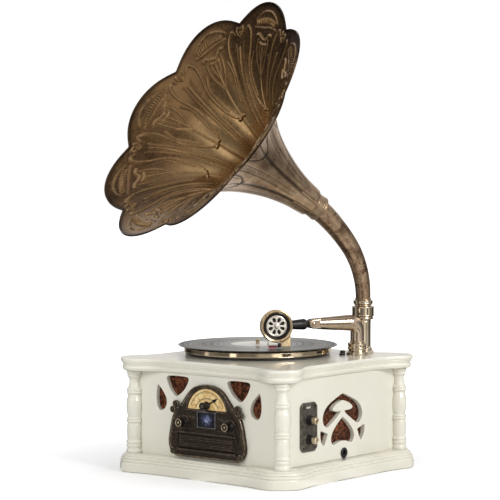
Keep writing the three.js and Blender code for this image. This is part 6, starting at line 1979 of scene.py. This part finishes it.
# Place and reach of the painted highlight across the middle of the petals
HIGHLIGHT_WAY = 0.61
HIGHLIGHT_REACH = 0.15


def add_bell():
    """The bell: cast relief on its inside, ribs and shallow prints of the relief on its outside."""
    lower = np.linspace(0, FINE_WAY, 40, endpoint=False)
    ways = np.concatenate([lower, np.linspace(FINE_WAY, 1, 170)])
    locals_ = np.arange(PER_PETAL) / PER_PETAL * 2 - 1
    count = PER_PETAL * PETALS
    way, turn = np.meshgrid(ways, np.arange(count) / count * TAU, indexing="ij")
    local = np.tile(locals_, PETALS)
    half = petal_half(way)
    outside = bell_points(way, turn)
    normals = bell_normals(outside)
    relief = np.tile(petal_relief(ways, locals_), (1, PETALS))
    inner = outside - normals * (BELL_WALL + relief)[..., None]

    rim_roll = 1.1 * raised(np.minimum(1, (1 - way) / RIM_SHARE), 1.0)
    rib = raised((1 - np.abs(local)) * half, RIB_WIDTH)
    printed = PRINT_SHARE * np.clip(relief, -1.3, 1.6)
    printed = np.where(way < RIB_END, printed + 0.9 * rib, printed)
    groove = raised(np.abs(np.abs(local) * half - GROOVE_PLACE), GROOVE_WIDTH)
    printed = printed - GROOVE_DEPTH * groove * np.clip((0.75 - way) / 0.2, 0, 1)
    fade = np.clip(way / 0.06, 0, 1)
    outer = outside + normals * (printed * fade + rim_roll * 0.5)[..., None]

    rings = [*outer, *inner[::-1]]
    faces = grid_faces(len(rings), count, True)
    bell = piece(
        "flower_bell", [(np.concatenate(rings), faces)], "horn_inside", ["horn_bell"], body="horn",
        crisp=False, sharp=75, recalc=False,
    )
    mesh = bell.data
    mesh.materials.append(FINISHES["horn_outside"][0])
    sides = np.zeros(len(faces), np.int32)
    sides[: (len(ways) - 1) * count] = 1
    mesh.polygons.foreach_set("material_index", sides)

    # Painted shade in the throat and along the rim, and a painted highlight across the middle of the
    # petals.
    throat = np.clip(1 - way / THROAT_WAY, 0, 1) ** 1.15 * 0.95
    edge = np.clip((way - 0.985) / 0.01, 0, 1) * 0.8
    middle = 0.72 + 0.28 * np.cos(local * math.pi)
    middle_highlight = np.exp(-(((way - HIGHLIGHT_WAY) / HIGHLIGHT_REACH) ** 2)) * middle
    add_attribute(mesh, "relief", printed * 0.8 / RELIEF_UNIT, relief / RELIEF_UNIT)
    add_attribute(mesh, "middle_highlight", middle_highlight, middle_highlight)
    add_attribute(mesh, "shade", edge, np.maximum(throat, edge))


# CAD nodes that stay: only their finish changes

KEPT_NODES = {
    "steel": ("cd_housing", "transformer", "motor_pulley", "motor", "spindle_bearing"),
    "rubber": ("drive_belt",),
    "circuit_green": ("circuit_board",),
    "black": ("right_speaker", "left_speaker"),
}


def dress_insides():
    for key, names in KEPT_NODES.items():
        for name in names:
            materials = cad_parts[name].data.materials
            materials.clear()
            materials.append(FINISHES[key][0])


# Camera, light and floor

CAMERA_PLACE = (2.5036, -3.1034, 0.6051)
CAMERA_HEADING = math.radians(38.894) + 0.00822
CAMERA_PITCH = math.radians(2.799)
LAMP_TARGET = (0.0, 0.0, 0.35)


def add_camera():
    data = bpy.data.cameras.new("photo_camera")
    data.lens = 153.33
    data.sensor_width = 36
    data.clip_end = 50
    camera = linked("photo_camera", data)
    level = math.cos(CAMERA_PITCH)
    x = -math.sin(CAMERA_HEADING) * level
    y = math.cos(CAMERA_HEADING) * level
    ahead = Vector((x, y, -math.sin(CAMERA_PITCH)))
    right = ahead.cross(Vector((0, 0, 1))).normalized()
    turn = Matrix((right, right.cross(ahead), -ahead)).transposed().to_4x4()
    camera.matrix_world = Matrix.Translation(CAMERA_PLACE) @ turn
    bpy.context.scene.camera = camera


def add_lamp(name, place, width, height, power, mirrored_too=True):
    data = bpy.data.lights.new(name, "AREA")
    data.shape = "RECTANGLE"
    data.size = width
    data.size_y = height
    data.energy = power
    lamp = linked(name, data)
    lamp.visible_glossy = mirrored_too
    lamp.location = place
    lamp.rotation_mode = "QUATERNION"
    lamp.rotation_quaternion = (Vector(LAMP_TARGET) - Vector(place)).to_track_quat("-Z", "Y")


# Studio cards seen in polished metal, by heading round the object as a share of a full turn
CARDS = [
    (0.0, 0.02), (0.02, 0.07), (0.09, 0.13), (0.108, 0.15), (0.113, 0.8), (0.124, 0.8), (0.135, 0.22),
    (0.2, 0.13), (0.235, 0.13), (0.241, 1.7), (0.262, 1.7), (0.269, 0.2), (0.345, 0.18), (0.365, 0.45),
    (0.415, 0.45), (0.43, 1.5), (0.46, 1.5), (0.467, 0.08), (0.5, 0.1), (0.51, 0.85), (0.552, 0.72),
    (0.568, 0.24), (0.64, 0.3), (0.656, 0.02), (0.71, 0.05), (0.735, 0.45), (0.775, 0.74), (0.89, 0.74),
    (0.925, 0.3), (0.955, 0.03), (1.0, 0.02),
]
CARD_WARMTH = (1.0, 0.97, 0.93)
# The same by height, for rays that go up
TOP_CARDS = [
    (0.0, (0.95, 0.95, 0.95)), (0.62, (1.0, 1.0, 1.0)), (0.7, (0.3, 0.29, 0.28)),
    (0.86, (0.22, 0.21, 0.2)), (0.9, (0.8, 0.8, 0.8)),
]
WHITE = (1.0, 1.0, 1.0, 1.0)
FILL_LIGHT = (0.4, 0.4, 0.41, 1.0)
FLOOR_RADIUS = 14
FLOOR_SIDES = 96
FLOOR_LEVEL = -0.0005
FLOOR_COLOUR = (0.86, 0.86, 0.86, 1.0)


def card_bands(tree, coords):
    parts = axes(tree, coords)
    heading = maths(tree, "ARCTAN2", parts[1], parts[0])
    share = maths(tree, "MULTIPLY_ADD", heading, 1 / TAU, 0.5)
    stops = [(place, [value * warm for warm in CARD_WARMTH]) for place, value in CARDS]
    return ramp(tree, share, stops), parts


def add_world():
    """Fill light for the surfaces, studio cards for reflections, white for the camera."""
    world = bpy.data.worlds.new("studio")
    bpy.context.scene.world = world
    world.use_nodes = True
    tree = world.node_tree
    back = tree.nodes["Background"]
    bands, parts = card_bands(tree, add_node(tree, "TexCoord").outputs["Generated"])
    top = ramp(tree, parts[2], TOP_CARDS)
    glossy = blended(tree, spread(tree, parts[2], 0.0, 1.0, (0.34, 0.44)), bands, top)
    path = add_node(tree, "LightPath").outputs
    clear = maths(tree, "MAXIMUM", path["Is Camera Ray"], path["Is Transmission Ray"])
    colour = blended(tree, path["Is Glossy Ray"], FILL_LIGHT, glossy)
    tree.links.new(blended(tree, clear, colour, WHITE), back.inputs["Color"])
    back.inputs["Strength"].default_value = 1.0


def add_floor():
    """A pale floor that glows white for the camera, with less glow close to the object, which paints
    shade round it and lets its contact shadow show; in reflections it shows the studio cards."""
    turns = np.arange(FLOOR_SIDES) * TAU / FLOOR_SIDES
    points = [(FLOOR_RADIUS * math.cos(t), FLOOR_RADIUS * math.sin(t), FLOOR_LEVEL) for t in turns]
    mesh = bpy.data.meshes.new("floor")
    mesh.from_pydata(points, [], [list(range(FLOOR_SIDES))])
    floor = linked("floor", mesh)
    material, tree, shader, coords = start_material("pale_floor")
    set_shader(tree, shader, FLOOR_COLOUR, 0.9, Specular_IOR_Level=0.1)
    path = add_node(tree, "LightPath").outputs
    # Painted shade: the glow is weaker near the object, so the floor darkens round it.
    away = spread(tree, radial(tree, coords, (0.0, 0.0)), 0.22, 1.0, (0.24, 1.1))
    strength = maths(tree, "MULTIPLY", path["Is Camera Ray"], away)
    glow = add_node(tree, "Emission", {"Color": WHITE, "Strength": strength}).outputs[0]
    both = add_node(tree, "AddShader", {0: shader.outputs[0], 1: glow}).outputs[0]
    cards = add_node(tree, "Emission", {"Color": card_bands(tree, coords)[0]}).outputs[0]
    mixed = add_node(tree, "MixShader", {0: path["Is Glossy Ray"], 1: both, 2: cards})
    tree.links.new(mixed.outputs[0], tree.nodes["Material Output"].inputs["Surface"])
    mesh.materials.append(material)


add_boards()
add_columns()
add_panels()
add_cloths()
add_fascia()
add_dial()
add_fascia_knobs()
add_drawer()
add_control_plate()
add_headphone_socket()
add_rear()
add_turntable()
add_base_plate()
add_tonearm()
add_head()
add_lever()
add_post()
add_elbow()
add_ferrule()
add_bell()
dress_insides()
add_camera()
add_lamp("key_lamp", (3.0, -0.2, 1.7), 1.3, 1.3, 61)
add_lamp("front_lamp", (-0.4, -3.0, 1.6), 1.4, 1.2, 36, False)
add_lamp("top_lamp", (0.2, 0.4, 2.8), 1.4, 1.4, 13, False)
add_world()
add_floor()
view_settings = bpy.context.scene.view_settings
view_settings.view_transform = "Standard"
